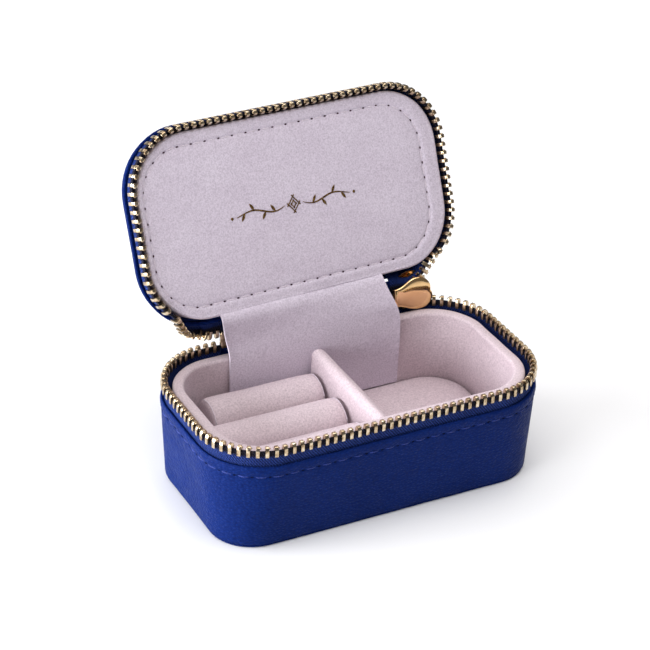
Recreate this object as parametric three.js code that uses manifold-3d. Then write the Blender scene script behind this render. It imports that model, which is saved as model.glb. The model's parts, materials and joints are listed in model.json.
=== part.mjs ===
// Zip-around travel jewellery box, standing open.
// Millimetres, +Z up, +X along the width, -Y is the front. The origin is the centre of the underside.
// The lid and its pieces are drawn closed, then the whole lid turns about the hinge line to stand open.
import * as THREE from 'three';
import Module from 'manifold-3d';
import { mergeVertices } from 'three/addons/utils/BufferGeometryUtils.js';

// Driving dimensions
const WIDTH = 102.2;
const DEPTH = 56.2;
const CORNER_R = 18.6;           // plan radius of the walls
const FOOT_INSET = 2.5;          // the walls draw in towards the underside
const FOOT_R = 12.5;             // plan radius at the underside
const WALL_TOP = 26.8;           // top edge of the leather wall
const RIM_Z = 33.4;              // plane where the two rows of teeth meet
const LID_RISE = 10.2;           // closed lid, from the rim plane to its top
const FLOOR_Z = 9.3;             // top of the floor pad
const LINER_TOP = 30.0;
const LINER_IN = 3.2;            // the liner's outer and inner faces, from the outside of the walls
const LINER_OUT = 6.5;
const CHAIN_IN = 1.0;            // middle of the teeth, from the outside of the walls
const SKIN = 0.9;                // covered board of the base's wall
const LID_SKIN = 1.35;           // the lid's wall, which is thicker at its edge
const GAP = 0.3;                 // between pieces that touch
const TOOTH_PITCH = 2.4;
const TOOTH_WIDTH = 1.25;
const TOOTH_H = 3.5;
const TIP_GAP = 1.2;             // between the two rows of tips, where the slider's post passes
const TOOTH_HALF = 1.0;          // half the thickness of a tooth, across the tape
const OPEN_DEG = 114;            // the lid's opening when the hinge strip is taut
const HINGE_HALF = 26.6;         // half width of the fabric hinge at the back
const ROLL_R = 6.7;              // radius of a ring roll
const SLIDER_LENGTH = 13;
const SLIDER_HALF_H = 5;
const PULL_LENGTH = 24;
const PANEL = 1.8;               // thickness of the bottom and top panels
const BOARD = 1.5;               // stiffener inside the lid
const FLOOR_BOARD = 1.9;
const STRIP = 0.6;               // thickness of the velvet strip
const CLOTH = 0.8;               // thickness of velvet with its backing

// Values that follow from them
const HALF_W = WIDTH / 2;
const HALF_D = DEPTH / 2;
const TAPE_HALF = 0.3;           // half the thickness of a tape
const BASE_TAPE_IN = SKIN + GAP + TAPE_HALF;        // middle of the tape where a wall holds it
const LID_TAPE_IN = LID_SKIN + GAP + TAPE_HALF;
const ROOT_Z = RIM_Z - TOOTH_H;
const LID_EDGE_Z = 2 * RIM_Z - WALL_TOP;
const LID_TOP_Z = RIM_Z + LID_RISE;
const CORNER_CX = HALF_W - CORNER_R;
const CORNER_CY = HALF_D - CORNER_R;
const CHAIN_R = CORNER_R - CHAIN_IN;
const CHAIN_Y = HALF_D - CHAIN_IN;    // middle of the teeth along the back
const HINGE_POINT = new THREE.Vector3(0, HALF_D - 0.6, LID_EDGE_Z - 0.1);
const HINGE_AXIS = new THREE.Vector3(0.9981, 0.0377, -0.0488).normalize();
const OPEN_TURN = new THREE.Quaternion().setFromAxisAngle(HINGE_AXIS, -THREE.MathUtils.degToRad(OPEN_DEG));

const colours = {
  leatherette: [0x1f3d8f, 0.55, 0],
  tape: [0x223a86, 0.9, 0],
  velvet: [0xcbbccb, 0.95, 0],
  foam: [0xd8d4cf, 1, 0],
  board: [0x9a8b78, 0.9, 0],
  teeth: [0xd9b878, 0.3, 0.9],
  gold: [0xe0b46c, 0.2, 1],
};

function material(kind) {
  const [color, roughness, metalness] = colours[kind];
  return new THREE.MeshStandardMaterial({ color, roughness, metalness });
}

function piece(name, kind, geometry) {
  const mesh = new THREE.Mesh(geometry, material(kind));
  mesh.name = name;
  return mesh;
}

// --- meshes from rows of points --------------------------------------------------------------

function meshFrom(points, faces) {
  const geometry = new THREE.BufferGeometry();
  const flat = points.flatMap((p) => [p.x, p.y, p.z]);
  geometry.setAttribute('position', new THREE.Float32BufferAttribute(flat, 3));
  geometry.setIndex(faces);
  geometry.computeVertexNormals();
  return geometry;
}

// Joins rows of equally many points into a skin. A row is a closed loop of points.
function skinFaces(rows, perRow, closed) {
  const faces = [];
  const last = closed ? rows : rows - 1;
  for (let i = 0; i < last; i++) {
    const a = i * perRow;
    const b = ((i + 1) % rows) * perRow;
    for (let j = 0; j < perRow; j++) {
      const k = (j + 1) % perRow;
      faces.push(a + j, a + k, b + k, a + j, b + k, b + j);
    }
  }
  return faces;
}

// A solid skinned over open rows, with both end rows closed by a fan.
function skinned(rows) {
  const perRow = rows[0].length;
  const faces = skinFaces(rows.length, perRow, false);
  const end = (rows.length - 1) * perRow;
  for (let j = 1; j < perRow - 1; j++) {
    faces.push(0, j + 1, j);
    faces.push(end, end + j, end + j + 1);
  }
  return meshFrom(rows.flat(), faces);
}

// A ring skinned over rows that come back to the first.
function ringed(rows) {
  return meshFrom(rows.flat(), skinFaces(rows.length, rows[0].length, true));
}

// One level of the rounded plan outline, counter-clockwise from above.
const ARC_STEPS = 6;

function outline(inset, z, radius = Math.max(CORNER_R - inset, 1)) {
  const points = [];
  const cx = HALF_W - inset - radius;
  const cy = HALF_D - inset - radius;
  const corners = [[cx, cy, 0], [-cx, cy, 1], [-cx, -cy, 2], [cx, -cy, 3]];
  for (const [x, y, quarter] of corners) {
    for (let i = 0; i <= ARC_STEPS; i++) {
      const a = (quarter + i / ARC_STEPS) * Math.PI / 2;
      points.push(new THREE.Vector3(x + radius * Math.cos(a), y + radius * Math.sin(a), z));
    }
  }
  return points;
}

// How far the wall has drawn in at height z, and its plan radius there.
function footInset(z) {
  return FOOT_INSET * (1 - Math.min(z / WALL_TOP, 1));
}

function wallRadius(z) {
  return THREE.MathUtils.lerp(FOOT_R, CORNER_R, Math.min(z / WALL_TOP, 1));
}

function wallLevel(inset, z) {
  const radius = Math.max(wallRadius(z) - inset, 1);
  return outline(footInset(z) + inset, z, radius);
}

// --- the rim path that both zipper rows follow -----------------------------------------------

const STRAIGHT_X = 2 * CORNER_CX;
const STRAIGHT_Y = 2 * CORNER_CY;
const QUARTER = CHAIN_R * Math.PI / 2;
const RIM_LENGTH = 2 * (STRAIGHT_X + STRAIGHT_Y) + 4 * QUARTER;

// Point and outward direction at distance s from the middle of the back, going round by the left.
function rimAt(s) {
  const parts = [
    ['line', STRAIGHT_X / 2, 0, CORNER_CY + CHAIN_R, Math.PI],
    ['arc', QUARTER, -CORNER_CX, CORNER_CY, Math.PI / 2],
    ['line', STRAIGHT_Y, -CORNER_CX - CHAIN_R, CORNER_CY, -Math.PI / 2],
    ['arc', QUARTER, -CORNER_CX, -CORNER_CY, Math.PI],
    ['line', STRAIGHT_X, -CORNER_CX, -CORNER_CY - CHAIN_R, 0],
    ['arc', QUARTER, CORNER_CX, -CORNER_CY, -Math.PI / 2],
    ['line', STRAIGHT_Y, CORNER_CX + CHAIN_R, -CORNER_CY, Math.PI / 2],
    ['arc', QUARTER, CORNER_CX, CORNER_CY, 0],
    ['line', STRAIGHT_X / 2, CORNER_CX, CORNER_CY + CHAIN_R, Math.PI],
  ];
  let rest = s;
  let index = 0;
  while (index < parts.length - 1 && rest > parts[index][1]) {
    rest -= parts[index][1];
    index += 1;
  }
  const [kind, , x, y, angle] = parts[index];
  if (kind === 'arc') {
    const a = angle + rest / CHAIN_R;
    const out = new THREE.Vector3(Math.cos(a), Math.sin(a), 0);
    return { at: new THREE.Vector3(x, y, 0).addScaledVector(out, CHAIN_R), out };
  }
  const along = new THREE.Vector3(Math.cos(angle), Math.sin(angle), 0);
  const out = new THREE.Vector3(along.y, -along.x, 0);
  return { at: new THREE.Vector3(x, y, 0).addScaledVector(along, rest), out };
}

// A four-cornered section at one station: from low to high along up, and half wide across.
function section(station, low, high, half) {
  const corner = (h, side) => station.at.clone()
    .addScaledVector(station.up, h)
    .addScaledVector(station.out, side * half);
  return [corner(low, 1), corner(low, -1), corner(high, -1), corner(high, 1)];
}

function rimStation(s) {
  const { at, out } = rimAt(s);
  return { at, out, up: new THREE.Vector3(0, 0, 1) };
}

// A row of teeth on a bead: each tooth runs from its root down (or up) to the tips.
// stationAt gives a frame at each distance, root and tip are heights along its up direction.
function teethRow(stationAt, from, to, root, tip) {
  const rows = [];
  const low = Math.min(root, tip);
  const high = Math.max(root, tip);
  const bead = root < tip ? [root, root + 1] : [root - 1, root];
  const count = Math.floor((to - from) / TOOTH_PITCH);
  const spare = (to - from - count * TOOTH_PITCH) / 2;
  rows.push(section(stationAt(from), ...bead, TOOTH_HALF * 0.7));
  for (let i = 0; i < count; i++) {
    const mid = from + spare + (i + 0.5) * TOOTH_PITCH;
    for (const s of [mid - TOOTH_WIDTH / 2, mid + TOOTH_WIDTH / 2]) {
      rows.push(section(stationAt(s), low, high, TOOTH_HALF));
    }
    const next = i < count - 1 ? mid + TOOTH_PITCH / 2 : to;
    rows.push(section(stationAt(next), ...bead, TOOTH_HALF * 0.7));
  }
  return skinned(rows);
}

// A plain band of tape between two heights, behind the middle of the teeth by a shift.
function tapeBand(stationAt, from, to, low, high, steps, shift) {
  const rows = [];
  for (let i = 0; i <= steps; i++) {
    const station = stationAt(from + (to - from) * i / steps);
    station.at.addScaledVector(station.out, -shift);
    rows.push(section(station, low, high, TAPE_HALF));
  }
  return skinned(rows);
}

// --- booleans --------------------------------------------------------------------------------

const wasm = await Module();
wasm.setup();

function toManifold(geometry) {
  const bare = geometry.clone();
  bare.deleteAttribute('normal');
  bare.deleteAttribute('uv');
  const merged = mergeVertices(bare, 1e-4);
  const vertProperties = new Float32Array(merged.attributes.position.array);
  const triVerts = new Uint32Array(merged.index.array);
  return new wasm.Manifold(new wasm.Mesh({ numProp: 3, vertProperties, triVerts }));
}

function fromManifold(solid) {
  const { vertProperties, triVerts } = solid.getMesh();
  const geometry = new THREE.BufferGeometry();
  geometry.setAttribute('position', new THREE.Float32BufferAttribute(vertProperties, 3));
  geometry.setIndex(Array.from(triVerts));
  geometry.computeVertexNormals();
  return geometry;
}

function joined(geometries) {
  return fromManifold(geometries.map(toManifold).reduce((a, b) => a.add(b)));
}

function box(x0, x1, y0, y1, z0, z1) {
  const geometry = new THREE.BoxGeometry(x1 - x0, y1 - y0, z1 - z0);
  return geometry.translate((x0 + x1) / 2, (y0 + y1) / 2, (z0 + z1) / 2);
}

function flatSolid(shape, depth, curveSegments) {
  return new THREE.ExtrudeGeometry(shape, { depth, bevelEnabled: false, curveSegments });
}

// --- base ------------------------------------------------------------------------------------

function baseBottomPanel() {
  const edge = 0.4;
  const lip = 0.2;                 // it stands out under the wall a little
  const back = 0.3;                // how far its rounded edges draw back
  return skinned([
    wallLevel(back + edge, 0),
    wallLevel(-lip, edge),
    wallLevel(-lip, PANEL - edge),
    wallLevel(back, PANEL),
  ]);
}

function baseWall() {
  const bottom = PANEL + GAP;
  const roll = 0.3;
  return ringed([
    wallLevel(0, bottom),
    wallLevel(0, WALL_TOP - roll),
    wallLevel(roll, WALL_TOP),
    wallLevel(SKIN - roll, WALL_TOP),
    wallLevel(SKIN, WALL_TOP - roll),
    wallLevel(SKIN, bottom),
  ]);
}

const TAPE_FROM = HINGE_HALF + GAP;                 // both tapes end just outside the fabric hinge
const TAPE_TO = RIM_LENGTH - TAPE_FROM;

function baseTape() {
  const low = WALL_TOP - 2;        // held between the wall and the liner
  return tapeBand(rimStation, TAPE_FROM, TAPE_TO, low, ROOT_Z - GAP, 56, BASE_TAPE_IN - CHAIN_IN);
}

function baseTeeth() {
  return teethRow(rimStation, TAPE_FROM, TAPE_TO, ROOT_Z, RIM_Z - TIP_GAP / 2);
}

const LINER_LEAN = 0.4;          // the liner's outer face draws in towards its bottom

// The liner is an inverted channel of velvet over a board, with a round top edge.
function baseLiner() {
  const middle = (LINER_IN + LINER_OUT) / 2;
  const half = (LINER_OUT - LINER_IN) / 2;
  const bottom = PANEL + GAP + FLOOR_BOARD + GAP;
  const bow = (radius) => [0, 1, 2, 3, 4].map((i) => {
    const a = Math.PI * i / 4;
    return outline(middle - radius * Math.cos(a), LINER_TOP - half + radius * Math.sin(a));
  });
  return ringed([
    outline(LINER_IN + LINER_LEAN, bottom),
    ...bow(half),
    outline(LINER_OUT, bottom),
    outline(LINER_OUT - CLOTH, bottom),
    ...bow(half - CLOTH).reverse(),
    outline(LINER_IN + LINER_LEAN + CLOTH, bottom),
  ]);
}

function linerCore() {
  const bottom = PANEL + GAP + 3;
  const outer = LINER_IN + CLOTH + GAP;
  const inner = LINER_OUT - CLOTH - GAP;
  const top = LINER_TOP - 2.2;     // below the round of the velvet
  return ringed([
    outline(outer + LINER_LEAN, bottom),
    outline(outer, top),
    outline(inner, top),
    outline(inner, bottom),
  ]);
}

function floorBoard() {
  const low = PANEL + GAP;
  const inset = SKIN + FOOT_INSET + GAP;
  const corner = FOOT_R - 1.5;
  return skinned([outline(inset, low, corner), outline(inset, low + FLOOR_BOARD, corner)]);
}

function floorPad() {
  const inset = LINER_OUT + GAP;
  const low = PANEL + GAP + FLOOR_BOARD + GAP;
  const roll = 0.8;
  return skinned([
    outline(inset, low),
    outline(inset, FLOOR_Z - roll),
    outline(inset + roll, FLOOR_Z),
  ]);
}

const DIVIDER_HALF = 2.4;
const DIVIDER_TOP = 28;

function divider() {
  const end = HALF_D - LINER_OUT - 1.2;       // clear of the liner and of the strip
  const shape = new THREE.Shape();
  shape.moveTo(-DIVIDER_HALF, FLOOR_Z + GAP);
  shape.lineTo(DIVIDER_HALF, FLOOR_Z + GAP);
  shape.lineTo(DIVIDER_HALF, DIVIDER_TOP - DIVIDER_HALF);
  shape.absarc(0, DIVIDER_TOP - DIVIDER_HALF, DIVIDER_HALF, 0, Math.PI, false);
  const geometry = flatSolid(shape, 2 * end, 4);
  return geometry.rotateX(Math.PI / 2).translate(0, end, 0);
}

// A ring roll lies along X between the left wall and the divider.
function ringRoll(y) {
  const right = -DIVIDER_HALF - GAP;
  const reach = Math.max(Math.abs(y) + ROLL_R - CORNER_CY, 0);     // how far into the liner's corner
  const inner = CORNER_R - LINER_OUT;
  const left = -CORNER_CX - Math.sqrt(inner ** 2 - reach ** 2) + GAP;
  const geometry = new THREE.CylinderGeometry(ROLL_R, ROLL_R, right - left, 14);
  return geometry.rotateZ(Math.PI / 2).translate((left + right) / 2, y, FLOOR_Z + GAP + ROLL_R);
}

// --- fabric hinge at the back ----------------------------------------------------------------

const GUSSET_RIGHT = HINGE_HALF - 0.4;

function hingeGusset() {
  const top = HINGE_POINT.z - 1.6;           // clears the lid's edge as it turns
  return box(-HINGE_HALF, GUSSET_RIGHT, HALF_D - SKIN, HALF_D, WALL_TOP + GAP, top);
}

// The velvet strip runs up the inside of the back and on to the lower edge of the lid's lining.
function hingeStrip() {
  const wallY = HALF_D - LINER_OUT - GAP;
  const points = [
    [wallY, FLOOR_Z + GAP],
    [wallY, LINER_TOP - 1],
    [wallY + 0.2, LINER_TOP + 2],
    [wallY + 0.7, LINER_TOP + 7],
    [wallY + 1.0, LINER_TOP + 12],
  ];
  const rows = points.map(([y, z]) => [
    new THREE.Vector3(-HINGE_HALF, y, z),
    new THREE.Vector3(-HINGE_HALF, y - STRIP, z),
    new THREE.Vector3(GUSSET_RIGHT, y - STRIP, z),
    new THREE.Vector3(GUSSET_RIGHT, y, z),
  ]);
  return skinned(rows);
}

const STOP_IN = 1.4;             // middle of a stop, from the end of the gusset

// A pressed stop closes each end of the two rows of teeth, behind the strip.
function endStop(x) {
  const half = 1;
  const reach = 2.6;
  const thick = 1.3;
  return box(x - half, x + half, CHAIN_Y - thick, CHAIN_Y, RIM_Z - reach, RIM_Z + reach);
}

// --- lid, drawn closed -----------------------------------------------------------------------

const LID_WALL_TOP = LID_TOP_Z - PANEL - GAP;

// The lid's wall draws in towards the top from its edge.
function lidWall() {
  const roll = 0.3;
  const edge = 0.3;
  const drawn = 0.9;
  return ringed([
    outline(edge, LID_EDGE_Z + roll),
    outline(drawn, LID_WALL_TOP),
    outline(LID_SKIN, LID_WALL_TOP),
    outline(LID_SKIN, LID_EDGE_Z + roll),
    outline(LID_SKIN - roll, LID_EDGE_Z),
    outline(edge + roll, LID_EDGE_Z),
  ]);
}

// Heights of the top panel from its underside, with the inset of its edge at each.
const TOP_EDGE = [[0, 1.2], [0.4, 0.9], [1.1, 1.3], [PANEL, 2.4]];

function lidTopPanel() {
  const low = LID_TOP_Z - PANEL;
  return skinned(TOP_EDGE.map(([rise, inset]) => outline(inset, low + rise)));
}

const LID_TURN_S = STRAIGHT_X / 2 + QUARTER / 2;     // the rigid rows stop half way round each rear corner

const LID_TURN_END = RIM_LENGTH - LID_TURN_S;

function lidTape() {
  const low = RIM_Z + TOOTH_H + GAP;
  return tapeBand(rimStation, LID_TURN_S, LID_TURN_END, low, LID_WALL_TOP, 48, LID_TAPE_IN - CHAIN_IN);
}

function lidTeeth() {
  return teethRow(rimStation, LID_TURN_S, LID_TURN_END, RIM_Z + TOOTH_H, RIM_Z + TIP_GAP / 2);
}

const LINING_Z = RIM_Z + 2.3;
const LINING_BACK = RIM_Z + 5;
const CLEAR_OF_SLIDER = CHAIN_IN + 4.5;      // inset that the slider's inner plate leaves free
const CLEAR_OF_STRIP = HALF_D - LINER_OUT - 2 * GAP - STRIP;  // the strip stands behind this

// A flat layer inside the lid, kept clear of the slider all round and of the strip at the back.
function lidLayer(low, high) {
  const level = (z) => outline(CLEAR_OF_SLIDER, z).map((p) => p.setY(Math.min(p.y, CLEAR_OF_STRIP)));
  return skinned([level(low), level(high)]);
}

function lidLining() {
  return lidLayer(LINING_Z, LINING_BACK);
}

function lidFoam() {
  return lidLayer(LINING_BACK + GAP, LID_WALL_TOP - BOARD - GAP);
}

function lidBoard() {
  return lidLayer(LID_WALL_TOP - BOARD, LID_WALL_TOP);
}

function openPoint(v) {
  return v.clone().sub(HINGE_POINT).applyQuaternion(OPEN_TURN).add(HINGE_POINT);
}

// --- the ends of the lid's zipper, which curve from the open lid down to the base row --------

const MEET = TIP_GAP / 2;          // a row's tips, from the rim plane

// Where the end of the lid's row passes, from the lid to the hinge: distances outside the
// hinge's edge, in front of the middle of the tape, and above the rim plane.
const TAIL_ROUTE = {
  left: [[13.3, 6.3, 9.5], [9.6, 3.0, 4.3], [7, 1.4, 2], [4.5, 0.3, 0.8], [2.5, 0, MEET], [0, 0, MEET]],
  right: [
    [16.6, -1.3, 11.6], [14.4, -0.9, 8.3], [11.4, -0.2, 5], [8.6, 0, 2.4], [5.6, 0, 1],
    [3, 0, MEET], [0, 0, MEET],
  ],
};

function tailCurve(side) {
  const sign = side === 'left' ? -1 : 1;
  const lidS = (s) => (side === 'left' ? s : RIM_LENGTH - s);
  const rimOnLid = (s) => openPoint(rimAt(lidS(s)).at.setZ(RIM_Z + MEET));
  const route = TAIL_ROUTE[side].map(([x, front, above]) => (
    new THREE.Vector3(sign * (TAPE_FROM + x), CHAIN_Y - front, RIM_Z + above)
  ));
  const start = [rimOnLid(LID_TURN_S - 0.2), rimOnLid(LID_TURN_S - 1.2)];
  return new THREE.CatmullRomCurve3([...start, ...route], false, 'centripetal');
}

// Shares of a tail's length between which its teeth turn from the lid's direction to upright.
const UPRIGHT = { left: [0.4, 0.8], right: [0.05, 0.5] };

// Frames along a tail: up turns from the open lid's own up to straight up.
function tailStation(side) {
  const curve = tailCurve(side);
  const length = curve.getLength();
  const lidUp = new THREE.Vector3(0, 0, 1).applyQuaternion(OPEN_TURN);
  const straight = new THREE.Vector3(0, 0, 1);
  const sign = side === 'left' ? -1 : 1;
  const at = (s) => {
    const t = THREE.MathUtils.clamp(s / length, 0, 1);
    const ease = THREE.MathUtils.smoothstep(t, ...UPRIGHT[side]);
    const tangent = curve.getTangentAt(t);
    const up = lidUp.clone().lerp(straight, ease);
    up.addScaledVector(tangent, -up.dot(tangent)).normalize();
    const out = tangent.clone().cross(up).multiplyScalar(sign).normalize();
    return { at: curve.getPointAt(t), out, up };
  };
  return { at, length };
}

const TAIL_TOOTH = TOOTH_H - TIP_GAP / 2;        // from the tips to the root
// A narrow tape, which stays clear of the roots where the row bends.
const TAIL_TAPE = [TAIL_TOOTH + 0.6, TAIL_TOOTH + 1.7];

function tailTeeth(side) {
  const { at, length } = tailStation(side);
  const stationAt = side === 'left' ? (s) => at(length - s) : at;
  return teethRow(stationAt, 0, length, TAIL_TOOTH, 0);
}

function tailTape(side) {
  const { at, length } = tailStation(side);
  const stationAt = side === 'left' ? (s) => at(length - s) : at;
  return tapeBand(stationAt, 0, length, ...TAIL_TAPE, 12, 0);
}

// --- slider and pull -------------------------------------------------------------------------

const SLIDER_X = HINGE_HALF + SLIDER_LENGTH / 2;     // run back to its end, beside the hinge
const SLIDER_Z = RIM_Z + 2;
const SLIDER_IN = -2.7;          // inner and outer faces of the channel, from the middle of the tape
const SLIDER_OUT = 1.7;
const PLATE = 0.8;               // thickness of each plate

// The wide end, with a lobe for each row, faces away from the hinge.
function sliderPlate(y) {
  const half = SLIDER_LENGTH / 2;
  const shape = new THREE.Shape();
  const narrow = 3.4;
  shape.moveTo(-half, -narrow);
  shape.bezierCurveTo(-half * 0.4, -narrow, -half * 0.1, -SLIDER_HALF_H, half * 0.45, -SLIDER_HALF_H);
  shape.bezierCurveTo(half, -SLIDER_HALF_H, half, -SLIDER_HALF_H * 0.3, half * 0.86, 0);
  shape.bezierCurveTo(half, SLIDER_HALF_H * 0.3, half, SLIDER_HALF_H, half * 0.45, SLIDER_HALF_H);
  shape.bezierCurveTo(-half * 0.1, SLIDER_HALF_H, -half * 0.4, narrow, -half, narrow);
  return flatSolid(shape, PLATE, 6).rotateX(Math.PI / 2).translate(0, y + PLATE, 0);
}

// Post between the rows, at the wide end, that holds the two plates together.
function sliderPost() {
  const shape = new THREE.Shape();
  const rim = RIM_Z - SLIDER_Z;
  const [tip, shoulder, end] = [1.2, 4, 5.6];      // a wedge that opens towards the wide end
  const [tipHalf, half] = [0.1, 0.35];
  shape.moveTo(tip, rim - tipHalf);
  shape.lineTo(shoulder, rim - half);
  shape.lineTo(end, rim - half);
  shape.lineTo(end, rim + half);
  shape.lineTo(shoulder, rim + half);
  shape.lineTo(tip, rim + tipHalf);
  const depth = SLIDER_OUT - SLIDER_IN + PLATE;
  return flatSolid(shape, depth, 1).rotateX(Math.PI / 2).translate(0, SLIDER_OUT + PLATE / 2, 0);
}

const LEG_X = 3.15;              // middle of each leg of the bridge, from the middle of the slider
const LEG_HALF_X = 0.45;
const LEG_HALF_Z = 0.7;
const BRIDGE_RISE = 2.2;

// Bridge on the outer plate: two legs and a bar along the slider.
function sliderBridge() {
  const foot = SLIDER_OUT + PLATE - 0.2;     // sunk a little into the plate
  const top = SLIDER_OUT + PLATE + BRIDGE_RISE;
  const half = LEG_X + LEG_HALF_X;
  const strip = (x0, x1, y0) => box(x0, x1, y0, top, -LEG_HALF_Z, LEG_HALF_Z);
  return [
    strip(-half, -LEG_X + LEG_HALF_X, foot),
    strip(LEG_X - LEG_HALF_X, half, foot),
    strip(-half, half, top - PLATE),
  ];
}

function sliderGeometry() {
  const parts = [
    sliderPlate(SLIDER_IN - PLATE),
    sliderPlate(SLIDER_OUT),
    sliderPost(),
    ...sliderBridge(),
  ];
  return joined(parts);
}

const PULL_THICK = 0.9;
const PULL_OUT = SLIDER_OUT + PLATE + 0.7;         // middle of the pull, from the middle of the tape

// The pull is a flat tab. Its eye hangs on the bridge's leg nearer the hinge, so it swings like a pendulum.
function pullGeometry() {
  const halfTop = 2.1;
  const halfLow = 3;
  const top = 1.75;
  const turn = halfLow - PULL_LENGTH;
  const shape = new THREE.Shape();
  shape.moveTo(-halfTop, top);
  shape.lineTo(-halfLow, turn);
  shape.absarc(0, turn, halfLow, Math.PI, 2 * Math.PI, false);
  shape.lineTo(halfTop, top);
  const eyeHalf = 1.25;
  const eyeTop = 0.95;
  const eyeLow = -1.9;
  const eye = new THREE.Path();
  eye.moveTo(-eyeHalf, eyeTop);
  eye.lineTo(eyeHalf, eyeTop);
  eye.lineTo(eyeHalf, eyeLow);
  eye.lineTo(-eyeHalf, eyeLow);
  eye.closePath();
  shape.holes.push(eye);
  return flatSolid(shape, PULL_THICK, 6).rotateX(Math.PI / 2).translate(0, PULL_THICK / 2, 0);
}

// --- assembly --------------------------------------------------------------------------------

const group = new THREE.Group();

const ROLL_PITCH = 2 * ROLL_R + 0.4;
group.add(
  piece('base_bottom_panel', 'leatherette', baseBottomPanel()),
  piece('base_wall', 'leatherette', baseWall()),
  piece('base_zipper_tape', 'tape', baseTape()),
  piece('base_zipper_teeth', 'teeth', baseTeeth()),
  piece('base_liner', 'velvet', baseLiner()),
  piece('base_liner_core', 'board', linerCore()),
  piece('floor_board', 'board', floorBoard()),
  piece('floor_pad', 'velvet', floorPad()),
  piece('divider', 'velvet', divider()),
  piece('hinge_gusset', 'leatherette', hingeGusset()),
  piece('hinge_strip', 'velvet', hingeStrip()),
  piece('zipper_stop_left', 'teeth', endStop(-HINGE_HALF + STOP_IN)),
  piece('zipper_stop_right', 'teeth', endStop(GUSSET_RIGHT - STOP_IN)),
);

const rolls = [['front', -ROLL_PITCH], ['middle', 0], ['back', ROLL_PITCH]];
for (const [place, y] of rolls) {
  group.add(piece(`ring_roll_${place}`, 'velvet', ringRoll(y)));
}

for (const side of ['left', 'right']) {
  group.add(piece(`lid_teeth_end_${side}`, 'teeth', tailTeeth(side)));
  group.add(piece(`lid_tape_end_${side}`, 'tape', tailTape(side)));
}

const lidClosed = new THREE.Group();
lidClosed.position.copy(HINGE_POINT).negate();
lidClosed.add(
  piece('lid_wall', 'leatherette', lidWall()),
  piece('lid_top_panel', 'leatherette', lidTopPanel()),
  piece('lid_zipper_tape', 'tape', lidTape()),
  piece('lid_zipper_teeth', 'teeth', lidTeeth()),
  piece('lid_lining', 'velvet', lidLining()),
  piece('lid_foam', 'foam', lidFoam()),
  piece('lid_board', 'board', lidBoard()),
);
const lidOpen = new THREE.Group();
lidOpen.position.copy(HINGE_POINT);
lidOpen.quaternion.copy(OPEN_TURN);
lidOpen.add(lidClosed);
group.add(lidOpen);

const sliderGroup = new THREE.Group();
sliderGroup.position.set(SLIDER_X, CHAIN_Y, SLIDER_Z);
sliderGroup.add(piece('slider', 'gold', sliderGeometry()));
const pull = piece('pull_tab', 'gold', pullGeometry());
pull.position.set(-LEG_X, PULL_OUT, 0);
sliderGroup.add(pull);
group.add(sliderGroup);

export default group;
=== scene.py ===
"""Looks of a zip-around travel jewellery box that stands open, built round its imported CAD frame.

Lengths are millimetres, turned into metres when a mesh is made. The lid's pieces are drawn closed, in the
same frame as the base, and then turned open about the hinge.
"""
import json
import math

import bmesh
import bpy
from mathutils import Matrix, Vector, noise


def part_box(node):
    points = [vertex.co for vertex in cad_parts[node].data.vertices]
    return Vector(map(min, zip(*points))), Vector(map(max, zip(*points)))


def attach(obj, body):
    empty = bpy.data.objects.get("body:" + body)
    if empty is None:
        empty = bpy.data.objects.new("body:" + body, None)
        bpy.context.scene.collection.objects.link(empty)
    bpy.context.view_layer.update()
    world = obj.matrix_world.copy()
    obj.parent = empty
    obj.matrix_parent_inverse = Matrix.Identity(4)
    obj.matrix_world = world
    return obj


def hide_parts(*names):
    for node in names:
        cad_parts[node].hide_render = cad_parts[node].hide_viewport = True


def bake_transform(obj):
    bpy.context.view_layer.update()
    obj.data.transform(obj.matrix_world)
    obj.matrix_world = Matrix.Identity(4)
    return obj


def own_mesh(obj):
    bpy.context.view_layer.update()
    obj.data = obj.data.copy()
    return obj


MM = 0.001
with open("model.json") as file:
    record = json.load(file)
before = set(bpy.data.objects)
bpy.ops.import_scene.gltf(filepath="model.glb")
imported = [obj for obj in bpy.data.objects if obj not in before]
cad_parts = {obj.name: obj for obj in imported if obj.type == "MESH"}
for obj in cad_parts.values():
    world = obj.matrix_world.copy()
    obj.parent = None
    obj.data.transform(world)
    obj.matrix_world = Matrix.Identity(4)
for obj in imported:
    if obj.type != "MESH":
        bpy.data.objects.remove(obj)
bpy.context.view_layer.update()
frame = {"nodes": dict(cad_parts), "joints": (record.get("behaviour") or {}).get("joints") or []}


def box_mm(node):
    """Lowest and highest corner of a CAD node at rest, in millimetres."""
    low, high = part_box(node)
    return low / MM, high / MM


# --- driving dimensions, from the frame where it holds them ---

WALL_LOW, WALL_HIGH = box_mm("base_wall")
TAPE_BOTTOM = box_mm("base_zipper_tape")[0].z
LINER_TOP = box_mm("base_liner")[1].z
FLOOR_LOW, FLOOR_HIGH = box_mm("floor_pad")
DIVIDER_LOW, DIVIDER_HIGH = box_mm("divider")
GUSSET_LOW, GUSSET_HIGH = box_mm("hinge_gusset")

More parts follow.
